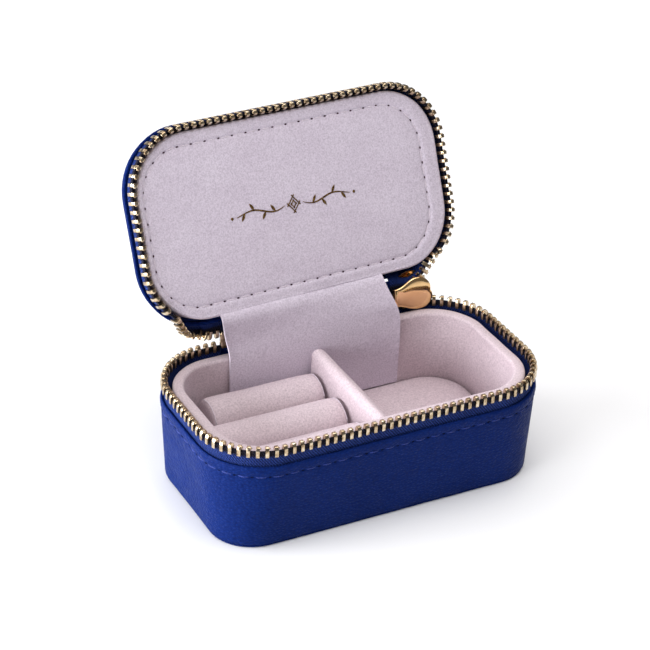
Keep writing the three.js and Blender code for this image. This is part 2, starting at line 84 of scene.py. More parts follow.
HALF_W = round(WALL_HIGH.x, 1)
HALF_D = round(WALL_HIGH.y, 1)
WALL_TOP = round(WALL_HIGH.z, 1)
WALL_FOOT = round(WALL_LOW.z, 1)
CORNER_R = 18.6             # plan radius of the walls
FOOT_INSET = 2.5            # the walls draw in towards the underside
FOOT_R = 12.5               # plan radius at the underside
SKIN = 0.9                  # covered board of the base's wall
LID_SKIN = 1.35             # the lid's wall at its edge
CHAIN_IN = 1.0              # from the wall's outside to the middle of the teeth
BASE_TAPE_IN = 1.5          # and to the middle of each tape, where a wall holds it
LID_TAPE_IN = 1.95
TAPE_HALF = 0.3
TOOTH_PITCH = 2.4
TOOTH_TALL = 2.9
HALF_GAP = 0.6              # from the rim plane to either row of tips
ROOT_Z = round(box_mm("base_zipper_teeth")[0].z, 1)
RIM_Z = ROOT_Z + TOOTH_TALL + HALF_GAP
LINER_IN = 3.2
LINER_OUT = 6.5
LID_EDGE_Z = 2 * RIM_Z - WALL_TOP
LID_TOP_Z = RIM_Z + 10.2
PANEL = 1.8
HINGE_HALF = -round(GUSSET_LOW.x, 1)
TAPE_END = HINGE_HALF + 0.3
CHAIN_Y = HALF_D - CHAIN_IN


def joint(name):
    return next(j for j in frame["joints"] if j["name"] == name)


hinge = joint("lid_hinge")
HINGE_POINT = Vector(hinge["pos_m"]) / MM
HINGE_AXIS = Vector(hinge["axis"]).normalized()
OPEN_ANGLE = -math.radians(hinge["range_deg"][1])
OPEN_TURN = (
    Matrix.Translation(HINGE_POINT)
    @ Matrix.Rotation(OPEN_ANGLE, 4, HINGE_AXIS)
    @ Matrix.Translation(-HINGE_POINT)
)
LID_UP = OPEN_TURN.to_3x3() @ Vector((0, 0, 1))


# --- camera, lights and floor ---


def make_camera():
    """A long lens above the front right, rolled a little and shifted to frame the open box."""
    azimuth, elevation, roll = (math.radians(a) for a in (-28.24, 31.7, 2.3))
    distance = 0.6155
    target = Vector((-11.73, 0, 35.5)) * MM
    level = Vector((math.cos(azimuth), math.sin(azimuth), 0))
    back = Vector((
        math.sin(azimuth) * math.cos(elevation),
        -math.cos(azimuth) * math.cos(elevation),
        math.sin(elevation),
    ))
    upright = back.cross(level)
    right = level * math.cos(roll) + upright * math.sin(roll)
    up = upright * math.cos(roll) - level * math.sin(roll)
    data = bpy.data.cameras.new("camera")
    data.sensor_width = 36
    data.lens = 125.5
    data.shift_x = 0.0183
    data.shift_y = 0.0656
    data.clip_start = 0.01
    camera = bpy.data.objects.new("camera", data)
    bpy.context.scene.collection.objects.link(camera)
    turn = Matrix((right, up, back)).transposed().to_4x4()
    camera.matrix_world = Matrix.Translation(target + back * distance) @ turn
    bpy.context.scene.camera = camera


def area_light(name, place, aim, size, power, colour=(1, 1, 1)):
    data = bpy.data.lights.new(name, "AREA")
    data.shape = "RECTANGLE"
    data.size, data.size_y = size
    data.energy = power
    data.color = colour
    light = bpy.data.objects.new(name, data)
    bpy.context.scene.collection.objects.link(light)
    light.location = place
    light.rotation_euler = (Vector(aim) - Vector(place)).to_track_quat("-Z", "Y").to_euler()


def make_lights():
    """Low windows at the left and behind it, a large soft ceiling, and a weak fill from above."""
    centre = (0, 0, 0.04)
    area_light("window_left", (-0.82, -0.15, 0.20), centre, (0.6, 0.36), 7.6, (0.95, 0.97, 1.0))
    area_light("window_behind", (-0.75, 0.34, 0.16), centre, (0.4, 0.3), 8.0, (0.95, 0.97, 1.0))
    area_light("ceiling", (0.0, 0.3, 1.7), (0, 0, 0), (2.8, 2.8), 35.0, (1.0, 0.99, 0.98))
    area_light("overhead", (0.1, -0.1, 0.85), centre, (0.5, 0.5), 2.2, (1.0, 0.97, 0.95))


def make_world():
    world = bpy.data.worlds.new("studio")
    bpy.context.scene.world = world
    world.use_nodes = True
    background = world.node_tree.nodes["Background"]
    background.inputs["Color"].default_value = (0.93, 0.95, 1.0, 1)
    background.inputs["Strength"].default_value = 0.17
    bpy.context.scene.view_settings.view_transform = "Standard"


def make_floor():
    half = 3.0
    mesh = bpy.data.meshes.new("floor")
    corners = [(-half, -half, 0), (half, -half, 0), (half, half, 0), (-half, half, 0)]
    mesh.from_pydata(corners, [], [(0, 1, 2, 3)])
    floor = bpy.data.objects.new("floor", mesh)
    bpy.context.scene.collection.objects.link(floor)
    floor.data.materials.append(MATERIALS["floor"])


# --- materials ---


def srgb(red, green, blue):
    """A linear RGBA colour from 0-255 display values."""
    def linear(value):
        value /= 255
        return value / 12.92 if value <= 0.04045 else ((value + 0.055) / 1.055) ** 2.4
    return (linear(red), linear(green), linear(blue), 1)


class Shader:
    """A Principled material and short ways to add texture nodes to it."""

    def __init__(self, name, **sockets):
        self.material = bpy.data.materials.new(name)
        self.material.use_nodes = True
        self.tree = self.material.node_tree
        self.base = self.tree.nodes["Principled BSDF"]
        self.coords = self.tree.nodes.new("ShaderNodeTexCoord").outputs
        for socket, value in sockets.items():
            self.base.inputs[socket.replace("_", " ")].default_value = value

    def feed(self, socket, value):
        """Sets a plain value on a socket, or links a node's output to it."""
        if isinstance(value, (int, float, tuple)):
            socket.default_value = value
        else:
            self.tree.links.new(value, socket)

    def add(self, kind, output, inputs, **settings):
        node = self.tree.nodes.new("ShaderNode" + kind)
        for setting, value in settings.items():
            setattr(node, setting, value)
        for socket, value in inputs.items():
            self.feed(node.inputs[socket], value)
        return node.outputs[output]

    def place(self, scale=(1, 1, 1), turn=0.0, source="Object"):
        inputs = {"Scale": scale, "Rotation": (0, 0, turn), "Vector": self.coords[source]}
        return self.add("Mapping", "Vector", inputs)

    def noise(self, scale, detail=2.0, vector=None, roughness=0.5):
        vector = vector or self.coords["Object"]
        inputs = {"Scale": scale, "Detail": detail, "Roughness": roughness, "Vector": vector}
        return self.add("TexNoise", "Fac", inputs)

    def cells(self, scale, feature="F1", vector=None):
        inputs = {"Scale": scale, "Vector": vector or self.coords["Object"]}
        return self.add("TexVoronoi", "Distance", inputs, feature=feature)

    def waves(self, scale, vector, direction="X", distortion=0.0):
        inputs = {"Scale": scale, "Distortion": distortion, "Vector": vector}
        return self.add("TexWave", "Fac", inputs, bands_direction=direction)

    def product(self, first, second):
        return self.add("Math", "Value", {0: first, 1: second}, operation="MULTIPLY")

    def range(self, factor, low, high, start=0.0, end=1.0):
        inputs = {"From Min": start, "From Max": end, "To Min": low, "To Max": high, "Value": factor}
        return self.add("MapRange", "Result", inputs)

    def ramp(self, factor, stops):
        node = self.tree.nodes.new("ShaderNodeValToRGB")
        ramp = node.color_ramp
        while len(ramp.elements) < len(stops):
            ramp.elements.new(0.5)
        for element, (position, colour) in zip(ramp.elements, stops):
            element.position = position
            element.color = colour
        self.feed(node.inputs["Fac"], factor)
        return node.outputs["Color"]

    def mix(self, factor, first, second, blend="MIX"):
        node = self.tree.nodes.new("ShaderNodeMix")
        node.data_type = "RGBA"
        node.blend_type = blend
        sockets = [s for s in node.inputs if s.enabled]
        for socket, value in zip(sockets, (factor, first, second)):
            self.feed(socket, value)
        return next(s for s in node.outputs if s.enabled)

    def colour(self, output):
        self.feed(self.base.inputs["Base Color"], output)

    def roughness(self, output):
        self.feed(self.base.inputs["Roughness"], output)

    def bump(self, *layers):
        """Each layer is (height, depth in mm), the coarsest first."""
        normal = None
        for height, depth in layers:
            inputs = {"Strength": 1.0, "Distance": depth * MM, "Height": height}
            if normal is not None:
                inputs["Normal"] = normal
            normal = self.add("Bump", "Normal", inputs)
        self.feed(self.base.inputs["Normal"], normal)


def leatherette_material():
    shader = Shader("leatherette", Specular_IOR_Level=0.05, Sheen_Weight=0.02, Sheen_Roughness=0.4)
    shader.base.inputs["Sheen Tint"].default_value = srgb(150, 180, 255)
    stretched = shader.place((0.62, 0.62, 1.0))
    warp = shader.noise(260, 3)
    pebbles = shader.cells(1500, "SMOOTH_F1", stretched)
    creases = shader.cells(1500, "DISTANCE_TO_EDGE", stretched)
    patches = shader.noise(38, 3)
    cloudy = shader.ramp(patches, [(0.3, srgb(9, 33, 93)), (0.7, srgb(12, 38, 103))])
    # painted shade: the grain is darker down in its creases
    deep = shader.range(creases, 0.72, 1.0, 0.0, 0.16)
    crease_shade = shader.ramp(deep, [(0.72, srgb(190, 195, 210)), (1.0, srgb(255, 255, 255))])
    shader.colour(shader.mix(1.0, cloudy, crease_shade, "MULTIPLY"))
    shader.roughness(shader.range(warp, 0.42, 0.6, 0.3, 0.7))
    shader.bump((patches, 0.12), (warp, 0.08), (pebbles, -0.24), (creases, 0.13))
    return shader.material


def thread_material(name, low, high):
    shader = Shader(name, Roughness=0.6, Sheen_Weight=0.2, Specular_IOR_Level=0.2)
    twist = shader.waves(420, shader.place((1, 1, 1), 0.7), "DIAGONAL")
    fibres = shader.noise(4200, 2)
    shader.colour(shader.ramp(fibres, [(0.35, low), (0.65, high)]))
    shader.bump((twist, 0.06), (fibres, 0.02))
    return shader.material


def tape_material():
    """Woven tape: fine cords along it, crossed by a slanting twill, and painted shade, near black, at the cord
    that the teeth clamp, where shade falls between the teeth. UVs are millimetres: along the tape, and in from
    that cord."""
    shader = Shader("zipper_tape", Sheen_Weight=0.12, Sheen_Roughness=0.45, Specular_IOR_Level=0.15)
    shader.base.inputs["Sheen Tint"].default_value = srgb(120, 150, 235)
    along = shader.place((1, 1, 1), 0.0, "UV")
    slanted = shader.place((1.0, 0.62, 1), 0.9, "UV")
    twill = shader.waves(0.62, slanted, "X", 0.6)
    picks = shader.waves(0.78, along, "X", 0.3)
    fuzz = shader.noise(1400, 3)
    patches = shader.noise(110, 2)
    weave = shader.product(twill, picks)
    tone = shader.ramp(weave, [
        (0.0, srgb(12, 28, 82)), (0.5, srgb(34, 62, 142)), (1.0, srgb(70, 102, 192)),
    ])
    worn = shader.ramp(patches, [(0.3, srgb(214, 218, 230)), (0.7, srgb(255, 255, 255))])
    from_cord = shader.add("SeparateXYZ", "Y", {"Vector": along})
    cord_shade = shader.range(from_cord, 0.0, 1.0, 1.2, 2.0)
    woven = shader.mix(1.0, tone, worn, "MULTIPLY")
    # painted shade: the tape goes near black at the clamped cord, where the teeth shade it
    shader.colour(shader.mix(cord_shade, srgb(22, 17, 27), woven))
    shader.roughness(shader.range(fuzz, 0.6, 0.85))
    shader.bump((twill, 0.28), (picks, 0.12), (fuzz, 0.03))
    return shader.material


def brass_material():
    """Pale champagne brass of the teeth, browner where it is worn."""
    shader = Shader("zipper_teeth", Metallic=1.0)
    patches = shader.noise(900, 3)
    scratches = shader.noise(1.0, 3, shader.place((900, 900, 6000)))
    shader.colour(shader.ramp(patches, [
        (0.25, srgb(124, 102, 80)), (0.5, srgb(194, 172, 140)), (0.8, srgb(236, 225, 204)),
    ]))
    shader.roughness(shader.range(patches, 0.34, 0.16))
    shader.bump((scratches, 0.012))
    return shader.material


def gold_material():
    """Polished slider and pull."""
    shader = Shader("slider_gold", Metallic=1.0)
    haze = shader.noise(160, 4)
    hair = shader.noise(1.0, 2, shader.place((300, 300, 9000)))
    shader.colour(shader.ramp(haze, [(0.3, srgb(226, 180, 124)), (0.7, srgb(240, 202, 150))]))
    shader.roughness(shader.range(haze, 0.14, 0.05, 0.3, 0.7))
    shader.bump((hair, 0.002))
    return shader.material


def velvet_material(name, low, high):
    """Short-pile velveteen: a fine even pile with a pale sheen, and faintly brushed patches."""
    shader = Shader(name, Specular_IOR_Level=0.1, Sheen_Weight=0.10, Sheen_Roughness=0.5)
    shader.base.inputs["Sheen Tint"].default_value = srgb(238, 232, 250)
    brushed = shader.noise(1.0, 3, shader.place((90, 90, 150)), 0.5)
    mottle = shader.noise(2100, 3, None, 0.7)
    pile = shader.noise(5200, 2, None, 0.7)
    cloud = shader.ramp(brushed, [(0.3, low), (0.7, high)])
    speck = shader.ramp(mottle, [(0.3, srgb(216, 212, 216)), (0.62, srgb(255, 255, 255))])
    shader.colour(shader.mix(1.0, cloud, speck, "MULTIPLY"))
    shader.roughness(shader.range(pile, 0.85, 1.0))
    shader.bump((brushed, 0.05), (mottle, 0.07), (pile, 0.04))
    return shader.material


def foil_material():
    """Hot-stamped foil, broken up a little by the pile under it."""
    shader = Shader("foil", Metallic=0.9, Roughness=0.3)
    breaks = shader.noise(2600, 3)
    shader.colour(shader.ramp(breaks, [
        (0.3, srgb(70, 46, 26)), (0.5, srgb(132, 98, 54)), (0.7, srgb(196, 160, 104)),
    ]))
    shader.roughness(shader.range(breaks, 0.5, 0.25))
    shader.bump((breaks, 0.05))
    return shader.material


# painted shade: the dark colour of these spots stands for the shade inside each needle hole
def needle_hole_shade_material(name, low, high):
    shader = Shader(name, Roughness=1.0, Specular_IOR_Level=0.05)
    shader.colour(shader.ramp(shader.noise(1500, 2), [(0.3, low), (0.7, high)]))
    return shader.material


def board_material():
    shader = Shader("board", Roughness=0.9)
    fibres = shader.noise(1.0, 4, shader.place((90, 500, 500)))
    shader.colour(shader.ramp(fibres, [(0.3, srgb(132, 116, 96)), (0.7, srgb(172, 156, 132))]))
    shader.bump((fibres, 0.1))
    return shader.material


def foam_material():
    shader = Shader("foam", Roughness=1.0)
    bubbles = shader.cells(1800)
    # painted shade: each bubble is darker towards the bottom of its pit
    shader.colour(shader.ramp(bubbles, [(0.0, srgb(176, 172, 164)), (0.6, srgb(232, 228, 220))]))
    shader.bump((bubbles, 0.15))
    return shader.material


def floor_material():
    shader = Shader("floor", Roughness=0.75, Specular_IOR_Level=0.2)
    tones = [(0.3, srgb(243, 243, 244)), (0.7, srgb(246, 246, 247))]
    shader.colour(shader.ramp(shader.noise(9, 3), tones))
    return shader.material


MATERIALS = {
    "leatherette": leatherette_material(),
    "thread_blue": thread_material("thread_blue", srgb(18, 38, 108), srgb(34, 58, 140)),
    "thread_pale": thread_material("thread_pale", srgb(206, 192, 204), srgb(238, 228, 236)),
    "tape": tape_material(),
    "brass": brass_material(),
    "gold": gold_material(),
    "velvet": velvet_material("velvet", srgb(216, 205, 218), srgb(222, 212, 224)),
    "velvet_base": velvet_material("velvet_base", srgb(212, 195, 200), srgb(217, 201, 206)),
    "foil": foil_material(),
    # painted shade of the needle holes, in the velvet and in the leather
    "needle_hole_shade": needle_hole_shade_material("needle_hole_shade", srgb(52, 32, 46), srgb(78, 52, 66)),
    "needle_hole_shade_blue": needle_hole_shade_material("needle_hole_shade_blue", srgb(6, 10, 32), srgb(12, 20, 52)),
    "board": board_material(),
    "foam": foam_material(),
    "floor": floor_material(),
}


# --- meshes ---


def new_piece(name, points, faces, kind, uvs=None, sharp=50):
    """A closed mesh from points in millimetres, smooth but for edges sharper than the angle."""
    mesh = bpy.data.meshes.new(name)
    mesh.from_pydata([Vector(p) * MM for p in points], [], faces)
    if uvs:
        layer = mesh.uv_layers.new(name="UVMap")
        for loop in mesh.loops:
            layer.data[loop.index].uv = uvs[loop.vertex_index]
    work = bmesh.new()
    work.from_mesh(mesh)
    bmesh.ops.recalc_face_normals(work, faces=work.faces)
    work.to_mesh(mesh)
    work.free()
    mesh.shade_smooth()
    mesh.set_sharp_from_angle(angle=math.radians(sharp))
    mesh.materials.append(MATERIALS[kind])
    piece = bpy.data.objects.new(name, mesh)
    bpy.context.scene.collection.objects.link(piece)
    return piece


def settle(piece, body, *nodes):
    """The piece rides on the body and stands for the CAD nodes."""
    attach(piece, body)
    if nodes:
        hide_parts(*nodes)
    return piece


def skin(loops, ring=False):
    """Points and faces over closed loops of equally many points. A ring comes back to its first loop, and
    otherwise both ends are closed."""
    rows, columns = len(loops), len(loops[0])
    faces = []
    for i in range(rows if ring else rows - 1):
        low, high = i * columns, (i + 1) % rows * columns
        for j in range(columns):
            k = (j + 1) % columns
            faces.append((low + j, low + k, high + k, high + j))
    if not ring:
        faces.append(tuple(range(columns)))
        faces.append(tuple(range((rows - 1) * columns, rows * columns)))
    return [p for loop in loops for p in loop], faces


def lofted(name, loops, kind, ring=False, turn=None, uvs=None):
    """One piece with a skin over closed loops."""
    points, faces = skin(loops, ring)
    if turn:
        points = [turn @ Vector(p) for p in points]
    return new_piece(name, points, faces, kind, uvs)


def merged(name, parts, kind, turn=None, sharp=50):
    """One piece from several (points, faces) parts."""
    points, faces = [], []
    for part_points, part_faces in parts:
        start = len(points)
        points.extend(turn @ Vector(p) if turn else p for p in part_points)
        faces.extend(tuple(start + i for i in face) for face in part_faces)
    return new_piece(name, points, faces, kind, None, sharp)


def angles(count, shift=0.0):
    """Evenly spaced angles all the way round."""
    return [2 * math.pi * (k + shift) / count for k in range(count)]


def fan(start, end, steps):
    """Evenly spaced values from start to end."""
    return [start + (end - start) * i / steps for i in range(steps + 1)]


def squarish(value, power):
    """A cosine or sine raised to a power below one, which makes a round section fuller at its corners."""
    return math.copysign(abs(value) ** power, value)


def direction(line, i):
    """Unit tangent of an open line at its point i."""
    return (line[min(i + 1, len(line) - 1)] - line[max(i - 1, 0)]).normalized()


def join_rings(work, first, second):
    """Adds faces between two rings of equally many bmesh points."""
    for i in range(len(first)):
        k = (i + 1) % len(first)
        work.faces.new((first[i], first[k], second[k], second[i]))


def bmesh_part(work, place=Vector()):
    """Points and faces of a bmesh, which is then freed."""
    work.verts.index_update()
    part = ([v.co + place for v in work.verts], [tuple(v.index for v in f.verts) for f in work.faces])
    work.free()
    return part


def tube(centres, radii, sides=8):
    """Points and faces of a round tube along centres, closed flat at its ends."""
    loops = []
    for i, centre in enumerate(centres):
        tangent = direction(centres, i)
        level = Vector((0, 0, 1)) if abs(tangent.z) < 0.9 else Vector((0, 1, 0))
        side = tangent.cross(level).normalized()
        over = tangent.cross(side)
        loops.append([centre + radii[i] * (math.cos(a) * side + math.sin(a) * over) for a in angles(sides)])
    return skin(loops)


def bezier_point(a, b, c, d, t):
    u = 1 - t
    return a * u ** 3 + b * 3 * u * u * t + c * 3 * u * t * t + d * t ** 3


def smooth_step(x):
    x = min(max(x, 0.0), 1.0)
    return x * x * (3 - 2 * x)


def waver(points, amount, size, seed=0.0):
    """Moves points a little by smooth noise, as soft material does. Size is the width of a swell."""
    shift = Vector((seed, -seed, seed))
    return [p + noise.noise_vector(p / size + shift) * amount for p in points]


# --- plan outlines ---

CORNER_STEPS = 14
LONG_STEPS = 26
SHORT_STEPS = 8
CORNER_SIGNS = ((1, 1), (-1, 1), (-1, -1), (1, -1))


def outline(inset, z, radius=None):
    """One level of the rounded plan, counter-clockwise from above, evenly filled along its sides."""
    radius = max(CORNER_R - inset, 1) if radius is None else max(radius, 0.6)
    cx, cy = HALF_W - inset - radius, HALF_D - inset - radius
    points = []
    for quarter, (sx, sy) in enumerate(CORNER_SIGNS):
        for i in range(CORNER_STEPS + 1):
            a = (quarter + i / CORNER_STEPS) * math.pi / 2
            points.append(Vector((sx * cx + radius * math.cos(a), sy * cy + radius * math.sin(a), z)))
        along, length, steps = (-sx, 0), 2 * cx, LONG_STEPS
        if quarter % 2:
            along, length, steps = (0, -sy), 2 * cy, SHORT_STEPS
        start = points[-1]
        for i in range(1, steps):
            step = length * i / steps
            points.append(start + Vector((along[0] * step, along[1] * step, 0)))
    return points


def wall_radius(z):
    return FOOT_R + (CORNER_R - FOOT_R) * min(z / WALL_TOP, 1)


def wall_draw(z):
    """How far the wall has drawn in at height z."""
    return FOOT_INSET * (1 - min(z / WALL_TOP, 1))


def wall_level(inset, z):
    return outline(wall_draw(z) + inset, z, wall_radius(z) - inset)


def path(inset, radius):
    """Length of a plan outline, and a function from distance to (point, outward direction). Distance starts
    at the middle of the back and goes round by the left."""
    cx, cy = HALF_W - inset - radius, HALF_D - inset - radius
    quarter = radius * math.pi / 2
    runs = [
        ("line", cx, 0, cy + radius, math.pi),
        ("arc", quarter, -cx, cy, math.pi / 2),
        ("line", 2 * cy, -cx - radius, cy, -math.pi / 2),
        ("arc", quarter, -cx, -cy, math.pi),
        ("line", 2 * cx, -cx, -cy - radius, 0),
        ("arc", quarter, cx, -cy, -math.pi / 2),
        ("line", 2 * cy, cx + radius, -cy, math.pi / 2),
        ("arc", quarter, cx, cy, 0),
        ("line", cx, cx, cy + radius, math.pi),
    ]
    total = sum(run[1] for run in runs)

    def at(distance):
        rest = distance % total
        for kind, length, x, y, angle in runs:
            if rest <= length:
                break
            rest -= length
        if kind == "arc":
            out = Vector((math.cos(angle + rest / radius), math.sin(angle + rest / radius), 0))
            return Vector((x, y, 0)) + out * radius, out
        along = Vector((math.cos(angle), math.sin(angle), 0))
        return Vector((x, y, 0)) + along * rest, Vector((along.y, -along.x, 0))

    return total, at


RIM_LENGTH, rim_at = path(CHAIN_IN, CORNER_R - CHAIN_IN)
STRAIGHT_X = 2 * (HALF_W - CORNER_R)
QUARTER = (CORNER_R - CHAIN_IN) * math.pi / 2
LID_TURN = STRAIGHT_X / 2 + QUARTER / 2     # the rigid rows stop half way round each rear corner


def rim_station(s, z=0.0, up=1):
    """Frame on the rim path: place, outward and up directions."""
    at, out = rim_at(s)
    return Vector((at.x, at.y, z)), out, Vector((0, 0, up))


# --- stitching ---


def stitch_parts(stations, length, radius, rise, sunk):
    """Stitches at stations of (point, outward from the surface, along), each dipping in at its ends."""
    parts = []
    steps = 8
    for point, out, along in stations:
        centres, radii = [], []
        for i in range(steps + 1):
            t = i / steps
            arch = math.sin(math.pi * t) ** 0.6 if 0 < t < 1 else 0
            centres.append(point + along * length * (t - 0.5) + out * (-sunk + (rise + sunk) * arch))
            radii.append(radius * (0.55 + 0.45 * arch))
        parts.append(tube(centres, radii))
    return parts


def dimple_parts(stations, radius, depth=0.3):
    """Flat, slightly sunken spots that carry the painted shade inside the needle holes."""
    parts = []
    for point, out, along in stations:
        across = out.cross(along)
        spots = [along * math.cos(a) * 1.25 + across * math.sin(a) * 0.8 for a in angles(8)]
        loops = []
        for share, height in ((1.0, -depth), (1.0, 0.02), (0.72, 0.04), (0.35, -0.02)):
            loops.append([point + spot * radius * share + out * height for spot in spots])
        parts.append(skin(loops))
    return parts


def even_stations(inset, radius, z, pitch, surface=None, shift=0.5):
    """Evenly spaced (point, outward from the surface, along) round a plan outline. Without a surface
    direction, outward is away from the outline."""
    total, at = path(inset, radius)
    count = round(total / pitch)
    stations = []
    for i in range(count):
        place, out = at(total * (i + shift) / count)
        along = Vector((-out.y, out.x, 0))
        stations.append((Vector((place.x, place.y, z)), surface or out, along))
    return stations


# --- leather shells ---

STITCH_DROP = 3.1           # from the wall's edge to its stitching
LEATHER_PITCH = 4.7


def base_wall_section():
    """(inset, z) section of the covered wall: over the bottom panel's edge and up to its turned and stitched
    edge."""
    edge = WALL_TOP
    seam = edge - STITCH_DROP
    panel = [(1.5, 0.0), (0.75, 0.03), (0.45, 0.14), (0.34, 0.34), (0.38, 0.58), (0.62, 0.7)]
    foot = [(0.62, 0.8), (0.26, 0.9), (0.06, 1.15), (0.0, 1.7), (0.0, 6), (0.0, 12), (0.0, 18)]
    groove = [
        (0.0, seam - 0.75), (0.05, seam - 0.40), (0.24, seam), (0.05, seam + 0.40), (-0.08, seam + 0.80),
    ]
    roll = [
        (-0.18, seam + 1.55), (-0.10, edge - 0.75), (0.04, edge - 0.28), (0.26, edge - 0.04), (0.52, edge),
        (0.76, edge - 0.10), (SKIN, edge - 0.40),
    ]
    return panel + foot + groove + roll + [(SKIN, edge / 2), (SKIN, WALL_FOOT), (1.5, WALL_FOOT)]


def on_table(loops):
    for loop in loops:
        for p in loop:
            p.z = max(p.z, 0.0)
    return loops


def base_wall():
    loops = [wall_level(inset, z) for inset, z in base_wall_section()]
    loops = on_table([waver(loop, 0.09, 9.0) for loop in loops])
    settle(lofted("base_wall_cover", loops, "leatherette", True), "base", "base_wall")
    seam = WALL_TOP - STITCH_DROP
    inset = wall_draw(seam) + 0.14
    radius = wall_radius(seam) - 0.14
    stations = even_stations(inset, radius, seam, LEATHER_PITCH)
    parts = stitch_parts(stations, LEATHER_PITCH * 0.72, 0.2, 0.06, 0.5)
    settle(merged("base_wall_stitching", parts, "thread_blue"), "base")
    stations = even_stations(inset, radius, seam, LEATHER_PITCH, shift=0.0)
    # dark spots of painted shade at the needle holes
    holes = dimple_parts(stations, 0.34)
    settle(merged("base_wall_needle_hole_shades", holes, "needle_hole_shade_blue"), "base")


def base_bottom():
    levels = [(1.7, 0.0), (1.6, 0.1), (1.6, PANEL - 0.1), (1.8, PANEL)]
    loops = on_table([waver(wall_level(inset, z), 0.04, 7.0) for inset, z in levels])
    settle(lofted("base_bottom_cover", loops, "leatherette"), "base", "base_bottom_panel")


def lid_wall():
    """Shallow wall that draws in towards the top from its turned edge."""
    top = LID_TOP_Z - PANEL - 0.3
    section = [
        (1.05, top),
        (0.88, top - 0.2),
        (0.66, top - 0.55),
        (0.40, LID_EDGE_Z + 0.6),
        (0.32, LID_EDGE_Z + 0.3),
        (0.42, LID_EDGE_Z + 0.08),
        (0.66, LID_EDGE_Z),
        (1.0, LID_EDGE_Z),
        (1.25, LID_EDGE_Z + 0.12),
        (LID_SKIN, LID_EDGE_Z + 0.4),
        (LID_SKIN, top),
    ]
    loops = [waver(outline(inset, z), 0.05, 9.0, 3.0) for inset, z in section]
    settle(lofted("lid_wall_cover", loops, "leatherette", True, OPEN_TURN), "lid", "lid_wall")


def lid_top():
    """Padded top panel with a rolled edge, a stitched border and a soft crown."""
    low = LID_TOP_Z - PANEL
    crown = [(13, -0.02), (9, -0.06), (6.6, -0.12), (6.0, -0.2), (5.5, -0.34), (5.0, -0.2), (4.2, -0.12)]
    edge = [(3.2, -0.2), (2.4, -0.4), (1.8, -0.68), (1.3, -1.0), (0.98, -1.3), (0.9, -1.5)]
    levels = [(20, 0.0)] + crown + edge
    loops = [waver(outline(inset, LID_TOP_Z + drop), 0.05, 11.0, 5.0) for inset, drop in levels]
    loops.append(outline(1.2, low))
    for loop in loops:
        for p in loop:
            p.z = min(p.z, LID_TOP_Z)
    settle(lofted("lid_top_cover", loops, "leatherette", False, OPEN_TURN), "lid", "lid_top_panel")
    inset = 5.5
    stations = even_stations(inset, CORNER_R - inset, LID_TOP_Z - 0.30, LEATHER_PITCH, Vector((0, 0, 1)))
    parts = stitch_parts(stations, LEATHER_PITCH * 0.80, 0.24, 0.05, 0.42)
    settle(merged("lid_top_stitching", parts, "thread_blue", OPEN_TURN), "lid")


def hinge_gusset():
    """Leather spine between the two walls at the back, with soft creases low down and where the lid turns."""
    low, high = GUSSET_LOW.z, HINGE_POINT.z - 0.5
    rows, columns = 18, 30
    left, right = GUSSET_LOW.x, TAPE_END - 0.1
    y_out = HALF_D - 0.02
    y_in = y_out - SKIN + 0.1
    loops = []
    for i in range(rows + 1):
        z = low + (high - low) * i / rows
        crease = 0.28 * math.exp(-((i / rows - 0.86) / 0.08) ** 2)
        crease += 0.22 * math.exp(-((i / rows - 0.1) / 0.07) ** 2)
        crease += 0.3 * smooth_step((z - GUSSET_HIGH.z) / (high - GUSSET_HIGH.z))
        loop = [Vector((x, y_out - crease, z)) for x in fan(left, right, columns)]
        loop += [Vector((x, y_in, z)) for x in fan(right, left, columns)]
        loops.append(waver(loop, 0.06, 6.0, 8.0))
    piece = lofted("hinge_gusset_cover", loops, "leatherette")
    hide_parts("hinge_gusset")
    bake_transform(piece)


# --- tapes and teeth ---

CORD_PITCH = 0.74
CLAMPED = 1.4               # height of tape between the legs of a tooth
CORD_BULGE = 0.11


def corded_side(low, high, low_shift, high_shift):
    """(bulge, shift, height) points up one face of a corded tape, which is shifted outward at each end."""
    cords = max(round(abs(high - low) / CORD_PITCH), 1)
    per_cord = 4
    points = []
    for i in range(cords * per_cord + 1):
        t = i / (cords * per_cord)
        bulge = TAPE_HALF + CORD_BULGE * abs(math.sin(math.pi * t * cords))
        points.append((bulge, low_shift + (high_shift - low_shift) * smooth_step(t), low + (high - low) * t))
    return points


def tape_section(low, high, low_shift, high_shift):
    """Closed (outward, height) section: up the outside, over the top edge, down the inside."""
    side = corded_side(low, high, low_shift, high_shift)
    outside = [(shift + bulge, h) for bulge, shift, h in side]
    inside = [(shift - bulge, h) for bulge, shift, h in side]
    return outside + inside[::-1]


def swept(name, stations, section, kind, edge, turn=None):
    """A closed section swept along stations. UVs are millimetres along, and away from the height edge."""
    loops, uvs = [], []
    run = 0.0
    for i, (at, out, up) in enumerate(stations):
        if i:
            run += (at - stations[i - 1][0]).length
        loops.append([at + out * across + up * height for across, height in section])
        uvs.extend((run, abs(height - edge)) for _, height in section)
    return lofted(name, loops, kind, False, turn, uvs)


def spaced(start, end, step):
    count = max(round((end - start) / step), 1)
    return [start + (end - start) * i / count for i in range(count + 1)]


def base_tape():
    stations = [rim_station(s) for s in spaced(TAPE_END, RIM_LENGTH - TAPE_END, 1.25)]
    high = ROOT_Z + CLAMPED
    section = tape_section(TAPE_BOTTOM, high, CHAIN_IN - BASE_TAPE_IN, 0.0)
    settle(swept("base_tape_woven", stations, section, "tape", high), "base", "base_zipper_tape")


def lid_tape():
    stations = [rim_station(s) for s in spaced(LID_TURN, RIM_LENGTH - LID_TURN, 1.25)]
    high = LID_TOP_Z - PANEL - 0.3
    low = 2 * RIM_Z - ROOT_Z - CLAMPED
    section = tape_section(low, high, 0.0, CHAIN_IN - LID_TAPE_IN)
    settle(swept("lid_tape_woven", stations, section, "tape", low, OPEN_TURN), "lid", "lid_zipper_tape")


